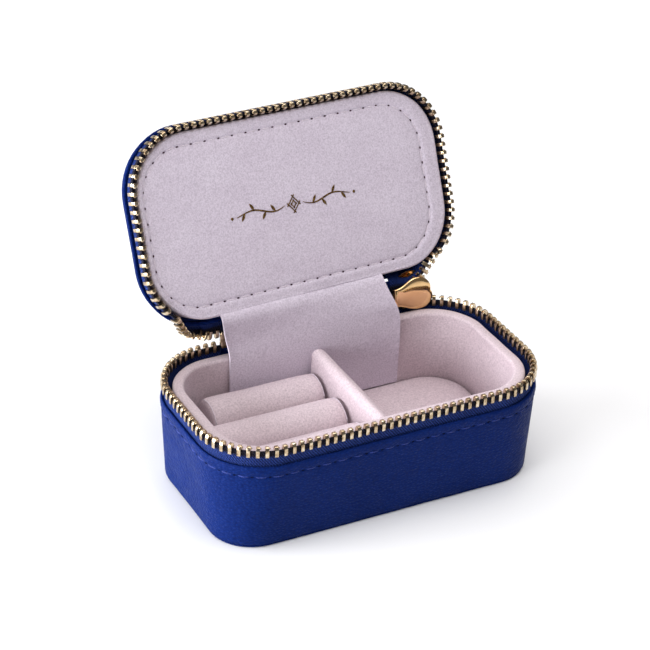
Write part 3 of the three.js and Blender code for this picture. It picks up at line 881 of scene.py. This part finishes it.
def tooth_template():
    """One tooth in (along, across, up): two legs that clamp the tape, and a head with a small knob."""
    outside = [(1.0, 0.0), (1.02, 1.75), (0.92, 2.15), (0.72, 2.45), (0.62, 2.72), (0.38, TOOTH_TALL)]
    slot = [(0.46, 0.0), (0.44, 1.3), (-0.44, 1.3), (-0.46, 0.0)]
    profile = [(-v, w) for v, w in outside] + outside[::-1] + slot
    half = 0.5
    work = bmesh.new()
    front = [work.verts.new((-half, v, w)) for v, w in profile]
    back = [work.verts.new((half, v, w)) for v, w in profile]
    work.faces.new(front)
    work.faces.new(back[::-1])
    join_rings(work, front, back)
    bmesh.ops.recalc_face_normals(work, faces=work.faces)
    bmesh.ops.bevel(
        work, geom=work.edges[:], offset=0.13, offset_type="OFFSET", segments=2, profile=0.6, affect="EDGES",
    )
    bmesh.ops.create_icosphere(
        work, subdivisions=2, radius=1.0,
        matrix=Matrix.Translation((half, 0, 2.35)) @ Matrix.Diagonal((0.42, 0.42, 0.30, 1)),
    )
    return bmesh_part(work)


TOOTH = tooth_template()


def teeth_parts(stations):
    parts = []
    for at, out, up in stations:
        along = up.cross(out)
        parts.append(([at + along * p.x + out * p.y + up * p.z for p in TOOTH[0]], TOOTH[1]))
    return parts


def tooth_stations(station_at, start, end, shift=0.0):
    count = int((end - start) / TOOTH_PITCH)
    spare = (end - start - count * TOOTH_PITCH) / 2
    return [station_at(start + spare + (i + 0.5 + shift) * TOOTH_PITCH) for i in range(count)]


def base_teeth():
    stations = tooth_stations(lambda s: rim_station(s, ROOT_Z), TAPE_END, RIM_LENGTH - TAPE_END)
    settle(merged("base_teeth_row", teeth_parts(stations), "brass"), "base", "base_zipper_teeth")


def lid_teeth():
    root = 2 * RIM_Z - ROOT_Z
    stations = tooth_stations(lambda s: rim_station(s, root, -1), LID_TURN, RIM_LENGTH - LID_TURN)
    settle(merged("lid_teeth_row", teeth_parts(stations), "brass", OPEN_TURN), "lid", "lid_zipper_teeth")


# --- the ends of the lid's zipper, which curve from the open lid down to the base row ---

# Where the end of the lid's row of tips passes, from the lid to the hinge: distances outside the hinge's
# edge, in front of the middle of the tape, and above the rim plane.
TAIL_ROUTE = {
    "left": [
        (13.3, 6.3, 9.5), (9.6, 3.0, 4.3), (7, 1.4, 2), (4.5, 0.3, 0.8), (2.5, 0, HALF_GAP), (0, 0, HALF_GAP),
    ],
    "right": [
        (16.6, -1.3, 11.6), (14.4, -0.9, 8.3), (11.4, -0.2, 5), (8.6, 0, 2.4), (5.6, 0, 1), (3, 0, HALF_GAP),
        (0, 0, HALF_GAP),
    ],
}
# Shares of a tail's length between which its teeth turn from the lid's direction to upright.
UPRIGHT = {"left": (0.4, 0.8), "right": (0.05, 0.5)}
TAIL_SIGN = {"left": -1, "right": 1}
STAYS = {"left": 1.0, "right": 0.62}        # share of each tail's length at which tail_teeth looks up a point, which it does not use
TAIL_PITCH = {"left": TOOTH_PITCH, "right": 0.78 * TOOTH_PITCH}     # the row bunches up where it bends


def catmull(points, per_span=16):
    """Dense points of a centripetal Catmull-Rom curve through points."""
    ends = [points[0] * 2 - points[1], *points, points[-1] * 2 - points[-2]]
    dense = []
    for i in range(1, len(ends) - 2):
        p0, p1, p2, p3 = ends[i - 1:i + 3]
        t1 = (p1 - p0).length ** 0.5
        t2 = t1 + (p2 - p1).length ** 0.5
        t3 = t2 + (p3 - p2).length ** 0.5
        for k in range(per_span):
            t = t1 + (t2 - t1) * k / per_span
            a1 = p0 * ((t1 - t) / t1) + p1 * (t / t1)
            a2 = p1 * ((t2 - t) / (t2 - t1)) + p2 * ((t - t1) / (t2 - t1))
            a3 = p2 * ((t3 - t) / (t3 - t2)) + p3 * ((t - t2) / (t3 - t2))
            b1 = a1 * ((t2 - t) / t2) + a2 * (t / t2)
            b2 = a2 * ((t3 - t) / (t3 - t1)) + a3 * ((t - t1) / (t3 - t1))
            dense.append(b1 * ((t2 - t) / (t2 - t1)) + b2 * ((t - t1) / (t2 - t1)))
    dense.append(points[-1])
    return dense


def lid_edge_point(side, s, z, inset=CHAIN_IN):
    """A point of the open lid's tape line at rim distance s and closed height z."""
    at, out = rim_at(s if side == "left" else RIM_LENGTH - s)
    return OPEN_TURN @ Vector((at.x + out.x * (CHAIN_IN - inset), at.y + out.y * (CHAIN_IN - inset), z))


def tail_stations(side):
    """The tail's length, and a function from distance (0 at the lid) to (point, out, up)."""
    sign = TAIL_SIGN[side]
    line = [lid_edge_point(side, LID_TURN - before, RIM_Z + HALF_GAP) for before in (0.2, 1.2)]
    for x, front, above in TAIL_ROUTE[side]:
        line.append(Vector((sign * (TAPE_END + x), CHAIN_Y - front, RIM_Z + above)))
    line = catmull(line)
    reach = [0.0]
    for a, b in zip(line, line[1:]):
        reach.append(reach[-1] + (b - a).length)
    total = reach[-1]
    begin, done = UPRIGHT[side]

    def at(distance):
        distance = min(max(distance, 0.0), total)
        k = next(i for i in range(1, len(reach)) if reach[i] >= distance - 1e-9)
        share = (distance - reach[k - 1]) / max(reach[k] - reach[k - 1], 1e-9)
        place = line[k - 1].lerp(line[k], share)
        tangent = (line[min(k + 1, len(line) - 1)] - line[max(k - 2, 0)]).normalized()
        up = LID_UP.lerp(Vector((0, 0, 1)), smooth_step((distance / total - begin) / (done - begin)))
        up = (up - tangent * up.dot(tangent)).normalized()
        out = tangent.cross(up).normalized() * sign
        return place, out, up

    return total, at


def tail_teeth(side, total, at):
    pitch = TAIL_PITCH[side]
    tips = []
    for i in range(int(total / pitch)):
        place, out, up = at(total - (i + 0.5) * pitch)
        tips.append((place + up * TOOTH_TALL, out, -up))
    teeth = merged(f"tail_teeth_{side}", teeth_parts(tips), "brass")
    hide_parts(f"lid_teeth_end_{side}")
    start, _, _ = at(total * STAYS[side])
    end, _, _ = at(0)
    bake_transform(teeth)


def tail_wing(side, total, at):
    """Woven tape that fills the space between the curving row and the lid's wall. It stands up between the
    slider's plates and folds back over them to the lid."""
    rows, cords, per_cord = 30, 9, 3
    steps = cords * per_cord
    loops, uvs = [], []
    for i in range(rows + 1):
        share = i / rows
        place, out, up = at(total * share)
        low = place + up * (TOOTH_TALL - CLAMPED)
        high = lid_edge_point(side, LID_TURN + (TAPE_END - LID_TURN) * share, LID_EDGE_Z + 1.2, LID_TAPE_IN)
        near = smooth_step((share - 0.55) / 0.4)
        lift = 1.6 + 2.6 * near
        fold = out * -0.6 + Vector((0, -1.1, 1.0)) * near
        outside, inside = [], []
        for j in range(steps + 1):
            t = j / steps
            centre = bezier_point(low, low + up * lift, high + fold, high, t)
            thick = TAPE_HALF * 0.8 + CORD_BULGE * abs(math.sin(math.pi * t * cords))
            outside.append(centre + out * thick)
            inside.append(centre - out * thick)
        loops.append(outside + inside[::-1])
        places = [(total * share, t * CORD_PITCH / per_cord) for t in range(steps + 1)]
        uvs.extend(places + places[::-1])
    wing = lofted(f"tail_tape_{side}", loops, "tape", uvs=uvs)
    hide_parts(f"lid_tape_end_{side}")
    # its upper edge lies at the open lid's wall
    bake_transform(wing)


STOP_WIDER = {"left": 1.1, "right": 0.0}


def end_stops():
    """Pressed clips that close the ends of the two rows, behind the strip."""
    half_levels = [(0.4, 1.0), (0.86, 0.95), (1, 0.72)]     # share of the half height, and how full it is
    levels = [(-share, full) for share, full in half_levels[::-1]] + [(0, 0.86)] + half_levels
    for side in ("left", "right"):
        low, high = box_mm(f"zipper_stop_{side}")
        low.x -= STOP_WIDER[side]
        centre, half = (low + high) / 2, (high - low) / 2
        loops = []
        for share, full in levels:
            loop = []
            for a in angles(16):
                x = squarish(math.cos(a), 0.5) * half.x * full
                y = squarish(math.sin(a), 0.5) * half.y * full
                loop.append(centre + Vector((x, y, share * half.z)))
            loops.append(loop)
        settle(lofted(f"stop_{side}", loops, "brass"), "base", f"zipper_stop_{side}")


# --- slider and pull ---

SLIDER_X = HINGE_HALF + 6.5
SLIDER_Z = RIM_Z + 2
SLIDER_LENGTH = 13
SLIDER_HALF_H = 5
PLATE = 0.8
PLATE_IN = -2.7
PLATE_OUT = 1.7


def bezier(a, b, c, d, steps=12):
    """Points of a Bezier curve, without its last."""
    return [bezier_point(a, b, c, d, i / steps) for i in range(steps)]


def slider_outline():
    """Plan of a slider plate: narrow at the hinge end, with a lobe above, a fuller one below and a waist at
    the nose."""
    half, tall, narrow = SLIDER_LENGTH / 2, SLIDER_HALF_H, 2.7

    def at(x, z):
        return Vector((x, 0, z))

    nose = at(half * 0.82, 0.5)
    tail = at(-half, narrow)
    bottom = at(half * 0.35, -tall)
    top = at(half * 0.12, tall)
    line = bezier(at(-half, -narrow), at(-half * 0.5, -narrow), at(-half * 0.2, -tall), bottom)
    line += bezier(bottom, at(half * 0.95, -tall), at(half * 1.08, -tall * 0.2), nose)
    line += bezier(nose, at(half * 0.9, tall * 0.55), at(half * 0.62, tall), top)
    line += bezier(top, at(-half * 0.3, tall), at(-half * 0.45, narrow), tail)
    return line + [tail]


def domed_plate(outer_y, inner_y, dome, lean):
    """A plate between two levels with rounded edges. dome lifts its middle on the outer side, and its upper
    lobe leans back by lean."""
    shape = slider_outline()
    side = 1 if outer_y > inner_y else -1
    levels = [
        (0.90, inner_y), (0.985, inner_y + side * 0.06), (1.0, inner_y + side * 0.22),
        (1.0, outer_y - side * 0.3), (0.985, outer_y - side * 0.12), (0.95, outer_y - side * 0.02),
    ]
    for share in (0.8, 0.6, 0.4, 0.2, 0.05):
        levels.append((share, outer_y + side * dome * (1 - (share / 0.95) ** 2)))
    loops = [[Vector((p.x * share, y, p.z * share)) for p in shape] for share, y in levels]
    for loop in loops:
        for p in loop:
            p.y += lean * max((p.z + 0.6) / (SLIDER_HALF_H + 0.6), 0) ** 1.6
    return skin(loops)


def rounded_block(low, high, edge):
    work = bmesh.new()
    bmesh.ops.create_cube(work, size=1.0)
    size, centre = high - low, (high + low) / 2
    for vert in work.verts:
        vert.co = centre + Vector(a * b for a, b in zip(vert.co, size))
    bmesh.ops.bevel(work, geom=work.edges[:], offset=edge, segments=2, profile=0.5, affect="EDGES")
    return bmesh_part(work)


def slider_bridge(face):
    """The bridge that holds the pull: one bent strip, up from the plate, along, and down again."""
    reach, rise, bend = 3.15, 1.8, 0.7
    line = [Vector((-reach, face - 0.3, 0)), Vector((-reach, face + rise - bend, 0))]
    for a in (0.5, 1.05, 1.57):
        x = -reach + bend * (1 - math.cos(a))
        line.append(Vector((x, face + rise - bend * (1 - math.sin(a)), 0)))
    line += [Vector((-p.x, p.y, 0)) for p in line[::-1]]
    loops = []
    for i, centre in enumerate(line):
        tangent = direction(line, i)
        normal = Vector((-tangent.y, tangent.x, 0))
        loop = []
        for a in angles(12, 0.5):
            wide = squarish(math.cos(a), 0.45) * 0.7
            thick = squarish(math.sin(a), 0.45) * 0.42
            loop.append(centre + Vector((0, 0, wide)) + normal * thick)
        loops.append(loop)
    return skin(loops)


def slider_body():
    """Two plates that the rows run between, the post that joins them, and the bridge for the pull."""
    face = PLATE_OUT + PLATE
    inner = domed_plate(PLATE_IN - PLATE, PLATE_IN, 0.12, 0.95)
    outer = domed_plate(face, PLATE_OUT, 0.10, 0.0)
    rim = RIM_Z - SLIDER_Z
    post_low = Vector((3.6, PLATE_IN - 0.2, rim - 0.35))
    post_high = Vector((5.6, PLATE_OUT + 0.2, rim + 0.35))
    parts = [inner, outer, rounded_block(post_low, post_high, 0.12), slider_bridge(face)]
    place = Matrix.Translation((SLIDER_X, CHAIN_Y, SLIDER_Z))
    settle(merged("slider_body", parts, "gold", place, 40), "slider", "slider")


PULL_TOP = 1.75             # heights on the pull are from its pivot
PULL_TURN = -21.0           # middle of its round lower end
PULL_HALF_TOP = 2.1
PULL_HALF_LOW = 3.0
EYE_HALF = 1.25             # the window that the bridge's leg passes through
EYE_TOP = 0.95
EYE_LOW = -1.9


def tab_outline(grow):
    """(x, z) outline of the tab, moved in by grow: a round lower end and a narrower, squarer top."""
    corner = 0.8
    line = []
    for a in fan(math.pi, 2 * math.pi, 20):
        line.append(Vector((PULL_HALF_LOW * math.cos(a), PULL_TURN + PULL_HALF_LOW * math.sin(a))))
    head = []
    for a in fan(0, math.pi / 2, 6):
        x = PULL_HALF_TOP - corner + corner * math.cos(a)
        head.append(Vector((x, PULL_TOP - corner + corner * math.sin(a))))
    line += head + [Vector((-p.x, p.y)) for p in head[::-1]]
    moved = []
    for i, p in enumerate(line):
        tangent = line[(i + 1) % len(line)] - line[i - 1]
        moved.append(p - Vector((tangent.y, -tangent.x)).normalized() * grow)
    return moved


def eye_outline(grow):
    """(x, z) outline of the window, widened by grow."""
    corner = 0.35
    middle_x = EYE_HALF + grow - corner
    low_z, high_z = EYE_LOW - grow + corner, EYE_TOP + grow - corner
    line = []
    corners = [
        (-1, low_z, math.pi, 8), (1, low_z, 1.5 * math.pi, 7), (1, high_z, 0, 7), (-1, high_z, math.pi / 2, 6),
    ]
    for sx, z, start, count in corners:
        for i in range(count):
            a = start + math.pi / 2 * i / 7
            line.append(Vector((sx * middle_x + corner * math.cos(a), z + corner * math.sin(a))))
    return line


def tab_plate(thick, pivot):
    """The tab with rounded edges and its window."""
    work = bmesh.new()

    def rings(outline_of, levels):
        return [[work.verts.new((p.x, y, p.y)) for p in outline_of(grow)] for grow, y in levels]

    half_edge = [(0.0, thick - 0.28), (0.08, thick - 0.1), (0.28, thick)]
    edge = rings(tab_outline, [(grow, -y) for grow, y in half_edge[::-1]] + half_edge)
    half_eye = [(0.12, thick), (0.0, thick - 0.14)]
    eye = rings(eye_outline, half_eye + [(grow, -y) for grow, y in half_eye[::-1]])
    for group in (edge, eye):
        for first, second in zip(group, group[1:]):
            join_rings(work, first, second)
    for pair in ((edge[-1], eye[0]), (edge[0], eye[-1])):
        edges = []
        for ring in pair:
            edges += [work.edges.get((ring[i], ring[(i + 1) % len(ring)])) for i in range(len(ring))]
        bmesh.ops.triangle_fill(work, use_beauty=True, edges=edges)
    bmesh.ops.recalc_face_normals(work, faces=work.faces)
    return bmesh_part(work, pivot)


def panel_border(y, pivot):
    """A raised border round a plain panel on one face of the tab."""
    low, high, wide, narrow = -19.6, -5.0, 2.1, 1.65
    side = [(wide - (wide - narrow) * t, low + (high - low) * t) for t in fan(0, 1, 8)[1:]]
    line = [(wide * math.cos(a), low + wide * math.sin(a)) for a in fan(math.pi, 2 * math.pi, 32)]
    line += side
    line += [(narrow * math.cos(a), high + narrow * math.sin(a)) for a in fan(0, math.pi, 16)[1:-1]]
    line += [(-x, z) for x, z in side[::-1]]
    line = [Vector((x, y, z)) for x, z in line]
    loops = []
    for i, centre in enumerate(line):
        tangent = (line[(i + 1) % len(line)] - line[i - 1]).normalized()
        across = tangent.cross(Vector((0, 1, 0)))
        loop = []
        for a in angles(6):
            loop.append(centre + pivot + across * 0.16 * math.cos(a) + Vector((0, 0.09 * math.sin(a), 0)))
        loops.append(loop)
    return skin(loops, True)


def pull_tab():
    """Flat pull with a window for the bridge's leg, and a bordered panel on each face."""
    low, high = box_mm("pull_tab")
    pivot = Vector(joint("pull_swing")["pos_m"]) / MM
    thick = (high.y - low.y) / 2
    parts = [tab_plate(thick, pivot), panel_border(-thick, pivot), panel_border(thick, pivot)]
    settle(merged("pull_tab_body", parts, "gold", None, 40), "pull", "pull_tab")


# --- velvet ---


def flat_round(inner, outer, top, steps=12):
    """(inset, z) points over the flat top of a padded board, rounded at both of its edges."""
    middle, half, drop = (inner + outer) / 2, (outer - inner) / 2, 1.2
    points = []
    for a in fan(0, math.pi, steps):
        across = squarish(math.cos(a), 0.55)
        points.append((middle - half * across, top - drop + drop * abs(math.sin(a)) ** 0.7))
    return points


def base_liner():
    """Velvet wrapped over a board all round the inside, with a soft round rim."""
    bottom = 4.3
    levels = [(LINER_IN + 0.4, bottom), (LINER_IN + 0.2, 14)] + flat_round(LINER_IN, LINER_OUT, LINER_TOP)
    for z in (26.6, 24, 20.5, 17, 13.5, 11, 9.6, 8.2):
        levels.append((LINER_OUT + 0.22 * math.sin(math.pi * (z - 8) / 20), z))
    levels.append((LINER_OUT, bottom))
    loops = [waver(outline(inset, z), 0.16, 8.0, 2.0) for inset, z in levels]
    piece = lofted("base_liner_velvet", loops, "velvet_base", True)
    settle(piece, "base", "base_liner")


def simulate(piece, pinned, pressure, most, voxel=0.75):
    """Blows the closed mesh up gently as cloth, ten times life size, and keeps the result. pinned says which
    points stay; no point moves further than most, in millimetres."""
    large = 10.0
    last_step = 20
    piece.data.transform(Matrix.Scale(large, 4))
    remesh = piece.modifiers.new("remesh", "REMESH")
    remesh.mode = "VOXEL"
    remesh.voxel_size = voxel * MM * large
    graph = bpy.context.evaluated_depsgraph_get()
    mesh = bpy.data.meshes.new_from_object(piece.evaluated_get(graph))
    piece.modifiers.clear()
    piece.data = mesh
    before = [v.co.copy() for v in mesh.vertices]
    group = piece.vertex_groups.new(name="pinned")
    group.add([i for i, co in enumerate(before) if pinned(co / MM / large)], 1.0, "REPLACE")
    cloth = piece.modifiers.new("cloth", "CLOTH")
    cloth.settings.vertex_group_mass = "pinned"
    cloth.settings.use_pressure = True
    cloth.settings.uniform_pressure_force = pressure
    cloth.settings.quality = 5
    cloth.settings.effector_weights.gravity = 0
    cloth.collision_settings.use_collision = False
    cloth.point_cache.frame_start = 1
    cloth.point_cache.frame_end = last_step
    for step in range(1, last_step + 1):
        bpy.context.scene.frame_set(step)
    graph = bpy.context.evaluated_depsgraph_get()
    after = bpy.data.meshes.new_from_object(piece.evaluated_get(graph))
    piece.modifiers.clear()
    piece.vertex_groups.clear()
    for vert, start in zip(after.vertices, before):
        move = vert.co - start
        limit = most * MM * large
        if move.length > limit:
            vert.co = start + move * (limit / move.length)
    after.transform(Matrix.Scale(1 / large, 4))
    after.shade_smooth()
    piece.data = after
    bpy.context.scene.frame_set(1)


def floor_pad():
    """Padded floor: tucked under at its foot, with a round edge and a nearly flat top."""
    low, high = FLOOR_LOW.z, FLOOR_HIGH.z
    levels = [
        (0.3, low), (0.05, low + 0.6), (0, high - 1.5), (0.2, high - 0.75), (0.6, high - 0.28),
        (1.3, high - 0.06), (3, high), (8, high - 0.05), (14, high - 0.02),
    ]
    loops = [waver(outline(LINER_OUT + 0.3 + inset, z), 0.12, 10.0, 4.0) for inset, z in levels]
    piece = lofted("floor_pad_velvet", loops, "velvet_base")
    settle(piece, "base", "floor_pad")


def divider_loop(wide, long, z):
    """One level of the divider, wide and long being half sizes, with its corners rounded."""
    radius = min(wide, 1.6)
    side_steps = 14
    loop = []
    for quarter, (sx, sy) in enumerate(CORNER_SIGNS):
        for a in fan(quarter * math.pi / 2, (quarter + 1) * math.pi / 2, 6):
            x = sx * (wide - radius) + radius * math.cos(a)
            loop.append(Vector((x, sy * (long - radius) + radius * math.sin(a), z)))
        if quarter % 2:
            start = loop[-1]
            step = sy * 2 * (long - radius) / side_steps
            loop += [Vector((start.x, start.y - step * i, z)) for i in range(1, side_steps)]
    return loop


def divider():
    """Upright velvet wall with a round top and round ends, a little thicker at its foot."""
    low, high = DIVIDER_LOW, DIVIDER_HIGH
    half = (high.x - low.x) / 2 * 0.86
    end = (high.y - low.y) / 2
    shoulder = high.z - half
    levels = [(low.z, 1.04), (low.z + 1.2, 1.02), (14, 0.98), (18, 0.96), (22, 0.97), (shoulder, 1.0)]
    for a in (0.35, 0.7, 1.0, 1.25, 1.45):
        levels.append((shoulder + half * math.sin(a), max(math.cos(a), 0.12)))
    loops = []
    for z, share in levels:
        wide = half * share
        long = end - (half - wide if z > shoulder else 0)
        loops.append(waver(divider_loop(wide, long, z), 0.14, 6.0, 6.0))
    piece = lofted("divider_velvet", loops, "velvet_base")
    settle(piece, "base", "divider")


ROLL_SEED = {"front": 1.7, "middle": 5.1, "back": 9.3}
ROLL_END = 5.5              # length over which each end of a roll is drawn in
# (distance from the end, share of the radius)
ROLL_DRAW = [
    (0.0, 0.30), (0.06, 0.62), (0.15, 0.84), (0.28, 0.915), (0.42, 0.94), (0.62, 0.925), (0.95, 0.962),
    (1.6, 0.985), (3.0, 0.997), (ROLL_END, 1.0),
]
ROLL_SEAM = 0.62            # from each end to the seam round it


def ring_roll(place):
    """Foam roll in velvet: gathered a little at its end discs, with a seam round each."""
    low, high = box_mm(f"ring_roll_{place}")
    radius = (high.z - low.z) / 2
    centre_y, centre_z = (low.y + high.y) / 2, (low.z + high.z) / 2
    length = high.x - low.x
    seed = ROLL_SEED[place]

    def at(x, reach, a):
        return Vector((x, centre_y + reach * math.cos(a), centre_z + reach * math.sin(a)))

    def pinned(p):
        return min(p.x - low.x, high.x - p.x) < 1.1 or p.z < low.z + 1.0

    middle = [(d, 1.0) for d in fan(ROLL_END, length - ROLL_END, 8)[1:-1]]
    loops = []
    for d, share in ROLL_DRAW + middle + [(length - d, share) for d, share in ROLL_DRAW[::-1]]:
        edge = min(d, length - d)
        gather = 0.10 * math.exp(-edge / 2.2) if edge > 0.5 else 0.0
        loop = [
            at(low.x + d, (radius - 0.12) * share + gather * math.sin(a * 17 + seed), a) for a in angles(56)
        ]
        loops.append(waver(loop, 0.14, 7.0, seed))
    piece = lofted(f"ring_roll_{place}_velvet", loops, "velvet_base")
    simulate(piece, pinned, 3.0, 0.35)
    settle(piece, "base", f"ring_roll_{place}")
    parts = []
    for x in (low.x + ROLL_SEAM, high.x - ROLL_SEAM):
        ring = [at(x, radius * 0.935, a) for a in fan(0, 2 * math.pi, 48)]
        parts.append(tube(ring, [0.12] * len(ring), 6))
    settle(merged(f"ring_roll_{place}_seam", parts, "thread_pale"), "base")


STRIP_THICK = 0.6
STRIP_LEFT = (-HINGE_HALF - 0.2, -29.4)     # x of its left edge at the floor and at the lid
STRIP_RIGHT = (HINGE_HALF + 0.4, 23.6)


def hinge_strip():
    """Velvet strip up the inside of the back and over to the lid, where it goes behind the lining's edge."""
    wall_y = box_mm("hinge_strip")[0].y + 0.05

    def sewn_at(x):
        """Where the strip is sewn into the lid, which stands a little askew."""
        return OPEN_TURN @ Vector((x, HALF_D - 3.6, LID_EDGE_Z + 0.4))

    lid_in = sewn_at(0)
    rise = [(0, FLOOR_HIGH.z + 0.2), (-0.02, 18), (0, 28), (0.35, 32.5)]
    rise += [(1.3, 38.0), (2.7, 42.2), (4.5, 43.4)]         # (distance behind the wall's face, height)
    route = [Vector((0, wall_y + back, z)) for back, z in rise]
    route = catmull([*route, Vector((0, lid_in.y, lid_in.z))], 7)
    columns = 34
    top = 44.0
    loops = []
    for i, centre in enumerate(route):
        tangent = direction(route, i)
        normal = Vector((0, -tangent.z, tangent.y))
        share = smooth_step((centre.z - 30) / (top - 30))
        left = STRIP_LEFT[0] + (STRIP_LEFT[1] - STRIP_LEFT[0]) * share
        right = STRIP_RIGHT[0] + (STRIP_RIGHT[1] - STRIP_RIGHT[0]) * share
        front, back = [], []
        for j in range(columns + 1):
            t = j / columns
            x = left + (right - left) * t
            edge = min(t, 1 - t) * (right - left)
            lip = 0.28 * math.exp(-((edge - 0.2) / 0.55) ** 2)
            slack = 0.22 * math.sin(centre.z * 0.23 + x * 0.11) * smooth_step((centre.z - 12) / 14)
            askew = (sewn_at(x) - lid_in) * smooth_step((centre.z - 34) / (top - 34))
            place = Vector((x, centre.y + askew.y, centre.z + askew.z)) + normal * (slack * 0.5)
            front.append(place + normal * (STRIP_THICK / 2 + lip * 0.5))
            back.append(place - normal * STRIP_THICK / 2)
        loops.append(front + back[::-1])
    piece = lofted("hinge_strip_velvet", loops, "velvet")
    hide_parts("hinge_strip")
    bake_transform(piece)


LINING_Z = RIM_Z + 2.3              # closed height of the lining's face
LINING_BACK = LID_EDGE_Z + 1.6
LINING_EDGE = 2.4                   # inset of its outline
LINING_R = 16.5                     # its plan radius
SEAM_IN = 3.7                       # from its outline to its stitching
SEAM_SHIFT = -1.9                   # the stitched border is narrower at the left than at the right
LINING_PITCH = 4.3
lining_pieces = []


def lining_face(depth):
    """Closed height of the lining's face at a distance in from its outline: an edge roll, a soft border, a
    stitched groove and a slightly padded middle."""
    roll = 1.0
    if depth < roll:
        return LINING_Z + roll - math.sqrt(max(roll ** 2 - (roll - depth) ** 2, 0))
    border = 0.10 * math.sin(math.pi * min((depth - roll) / (SEAM_IN - roll), 1))
    groove = 0.30 * math.exp(-((depth - SEAM_IN) / 0.45) ** 2)
    crown = 0.18 * smooth_step((depth - SEAM_IN) / 6)
    return LINING_Z + 0.2 - border + groove - crown


def lid_lining():
    """Padded velvet lining with its row of stitches, and dark spots of painted shade at the needle holes
    between them.
    """
    depths = [0.0, 0.1, 0.3, 0.6, 1.0, 1.5, 2.1, 2.6, 3.0, 3.3, 3.5, 3.7, 3.9, 4.1, 4.5, 5.2, 6.5]
    depths += [8, 10, 12.5, 15, 18, 21]
    loops = [outline(LINING_EDGE + 0.3, LINING_BACK, LINING_R)]
    loops.append(outline(LINING_EDGE, LINING_BACK - 0.5, LINING_R))
    for depth in depths:
        shift = Vector((SEAM_SHIFT * smooth_step(depth / SEAM_IN), 0, 0))
        loop = outline(LINING_EDGE + depth, lining_face(depth), max(LINING_R - depth, 1.0))
        loops.append([p + shift for p in loop])
    loops = [waver(loop, 0.10, 9.0, 7.0) for loop in loops]
    lining = lofted("lid_lining_velvet", loops, "velvet", False, OPEN_TURN)
    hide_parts("lid_lining")
    inset, radius = LINING_EDGE + SEAM_IN, LINING_R - SEAM_IN
    face = lining_face(SEAM_IN) - 0.02
    outward = Vector((0, 0, -1))
    place = OPEN_TURN @ Matrix.Translation((SEAM_SHIFT, 0, 0))
    stitches = even_stations(inset, radius, face, LINING_PITCH, outward)
    holes = even_stations(inset, radius, face - 0.10, LINING_PITCH, outward, 0.0)
    thread_parts = stitch_parts(stitches, LINING_PITCH * 0.8, 0.16, 0.06, 0.3)
    threads = merged("lid_lining_stitching", thread_parts, "thread_pale", place)
    # dark spots of painted shade at the needle holes
    spots = merged("lid_lining_needle_hole_shades", dimple_parts(holes, 0.30), "needle_hole_shade", place)
    lining_pieces.extend([lining, threads, spots])


def ribbon(line, widths, z, thick=0.14):
    """A flat strip of foil along a line of (x, y) points, with a width at each."""
    loops = []
    for i, centre in enumerate(line):
        tangent = direction(line, i)
        across = Vector((-tangent.y, tangent.x)) * widths[i] / 2
        section = ((1, z), (1, z - thick), (-1, z - thick), (-1, z))
        loops.append([Vector((*(centre + across * side), level)) for side, level in section])
    return skin(loops)


def foil_ornament():
    """A plain stamped ornament: a small diamond between two sprigs."""
    z = lining_face(20.0) + 0.03
    parts = []
    diamond = 1.7
    for scale in (1.0, 0.45):
        corners = []
        for k in range(5):
            a = math.pi / 2 * k
            corners.append(Vector((diamond * scale * math.cos(a), diamond * 1.2 * scale * math.sin(a))))
        for first, second in zip(corners, corners[1:]):
            line = [first.lerp(second, t / 4) for t in range(-1, 6)]
            parts.append(ribbon(line, [0.3] * len(line), z))
    bulge = [math.sin(math.pi * t) for t in fan(0, 1, 8)]
    for side in (-1, 1):
        stem = []
        for t in fan(0, 1, 40):
            y = 0.95 * math.sin(2.2 * math.pi * t) * (1 - 0.35 * t)
            stem.append(Vector((side * (3.0 + 15.5 * t), y)))
        parts.append(ribbon(stem, [0.16 + 0.3 * math.sin(math.pi * t) for t in fan(0, 1, 40)], z))
        for k, share in enumerate((0.2, 0.42, 0.64, 0.84)):
            root = stem[int(share * 40)]
            lean = math.radians(58) * (1 if k % 2 else -1)
            leaf = [root + Vector((side * math.cos(lean), math.sin(lean))) * t for t in fan(0, 2.4, 8)]
            parts.append(ribbon(leaf, [0.08 + 0.72 * b for b in bulge], z))
        dot = Vector((side * 20.0, stem[-1].y))
        line = [dot + Vector((x, 0)) for x in fan(-0.45, 0.45, 8)]
        parts.append(ribbon(line, [0.1 + 0.85 * b for b in bulge], z))
    place = OPEN_TURN @ Matrix.Translation((-1.5, 0, 0))
    lining_pieces.append(merged("lid_foil_ornament", parts, "foil", place))


def settle_lining():
    """The lining's pieces ride on the lid, each with a mesh of its own."""
    for piece in lining_pieces:
        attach(piece, "lid")
        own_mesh(piece)


def paint_hidden_nodes():
    """The boards and foam inside keep their CAD shape."""
    for node, kind in (
        ("base_liner_core", "board"), ("floor_board", "board"), ("lid_board", "board"), ("lid_foam", "foam"),
    ):
        materials = frame["nodes"][node].data.materials
        materials.clear()
        materials.append(MATERIALS[kind])


make_camera()
make_lights()
make_world()
make_floor()
paint_hidden_nodes()

base_bottom()
base_wall()
base_tape()
base_teeth()
base_liner()
floor_pad()
divider()
for roll_place in ("front", "middle", "back"):
    ring_roll(roll_place)
end_stops()
slider_body()
pull_tab()

lid_wall()
lid_top()
lid_tape()
lid_teeth()
lid_lining()
foil_ornament()
settle_lining()

hinge_gusset()
hinge_strip()
for tail_side in ("left", "right"):
    tail_length, tail_at = tail_stations(tail_side)
    tail_teeth(tail_side, tail_length, tail_at)
    tail_wing(tail_side, tail_length, tail_at)
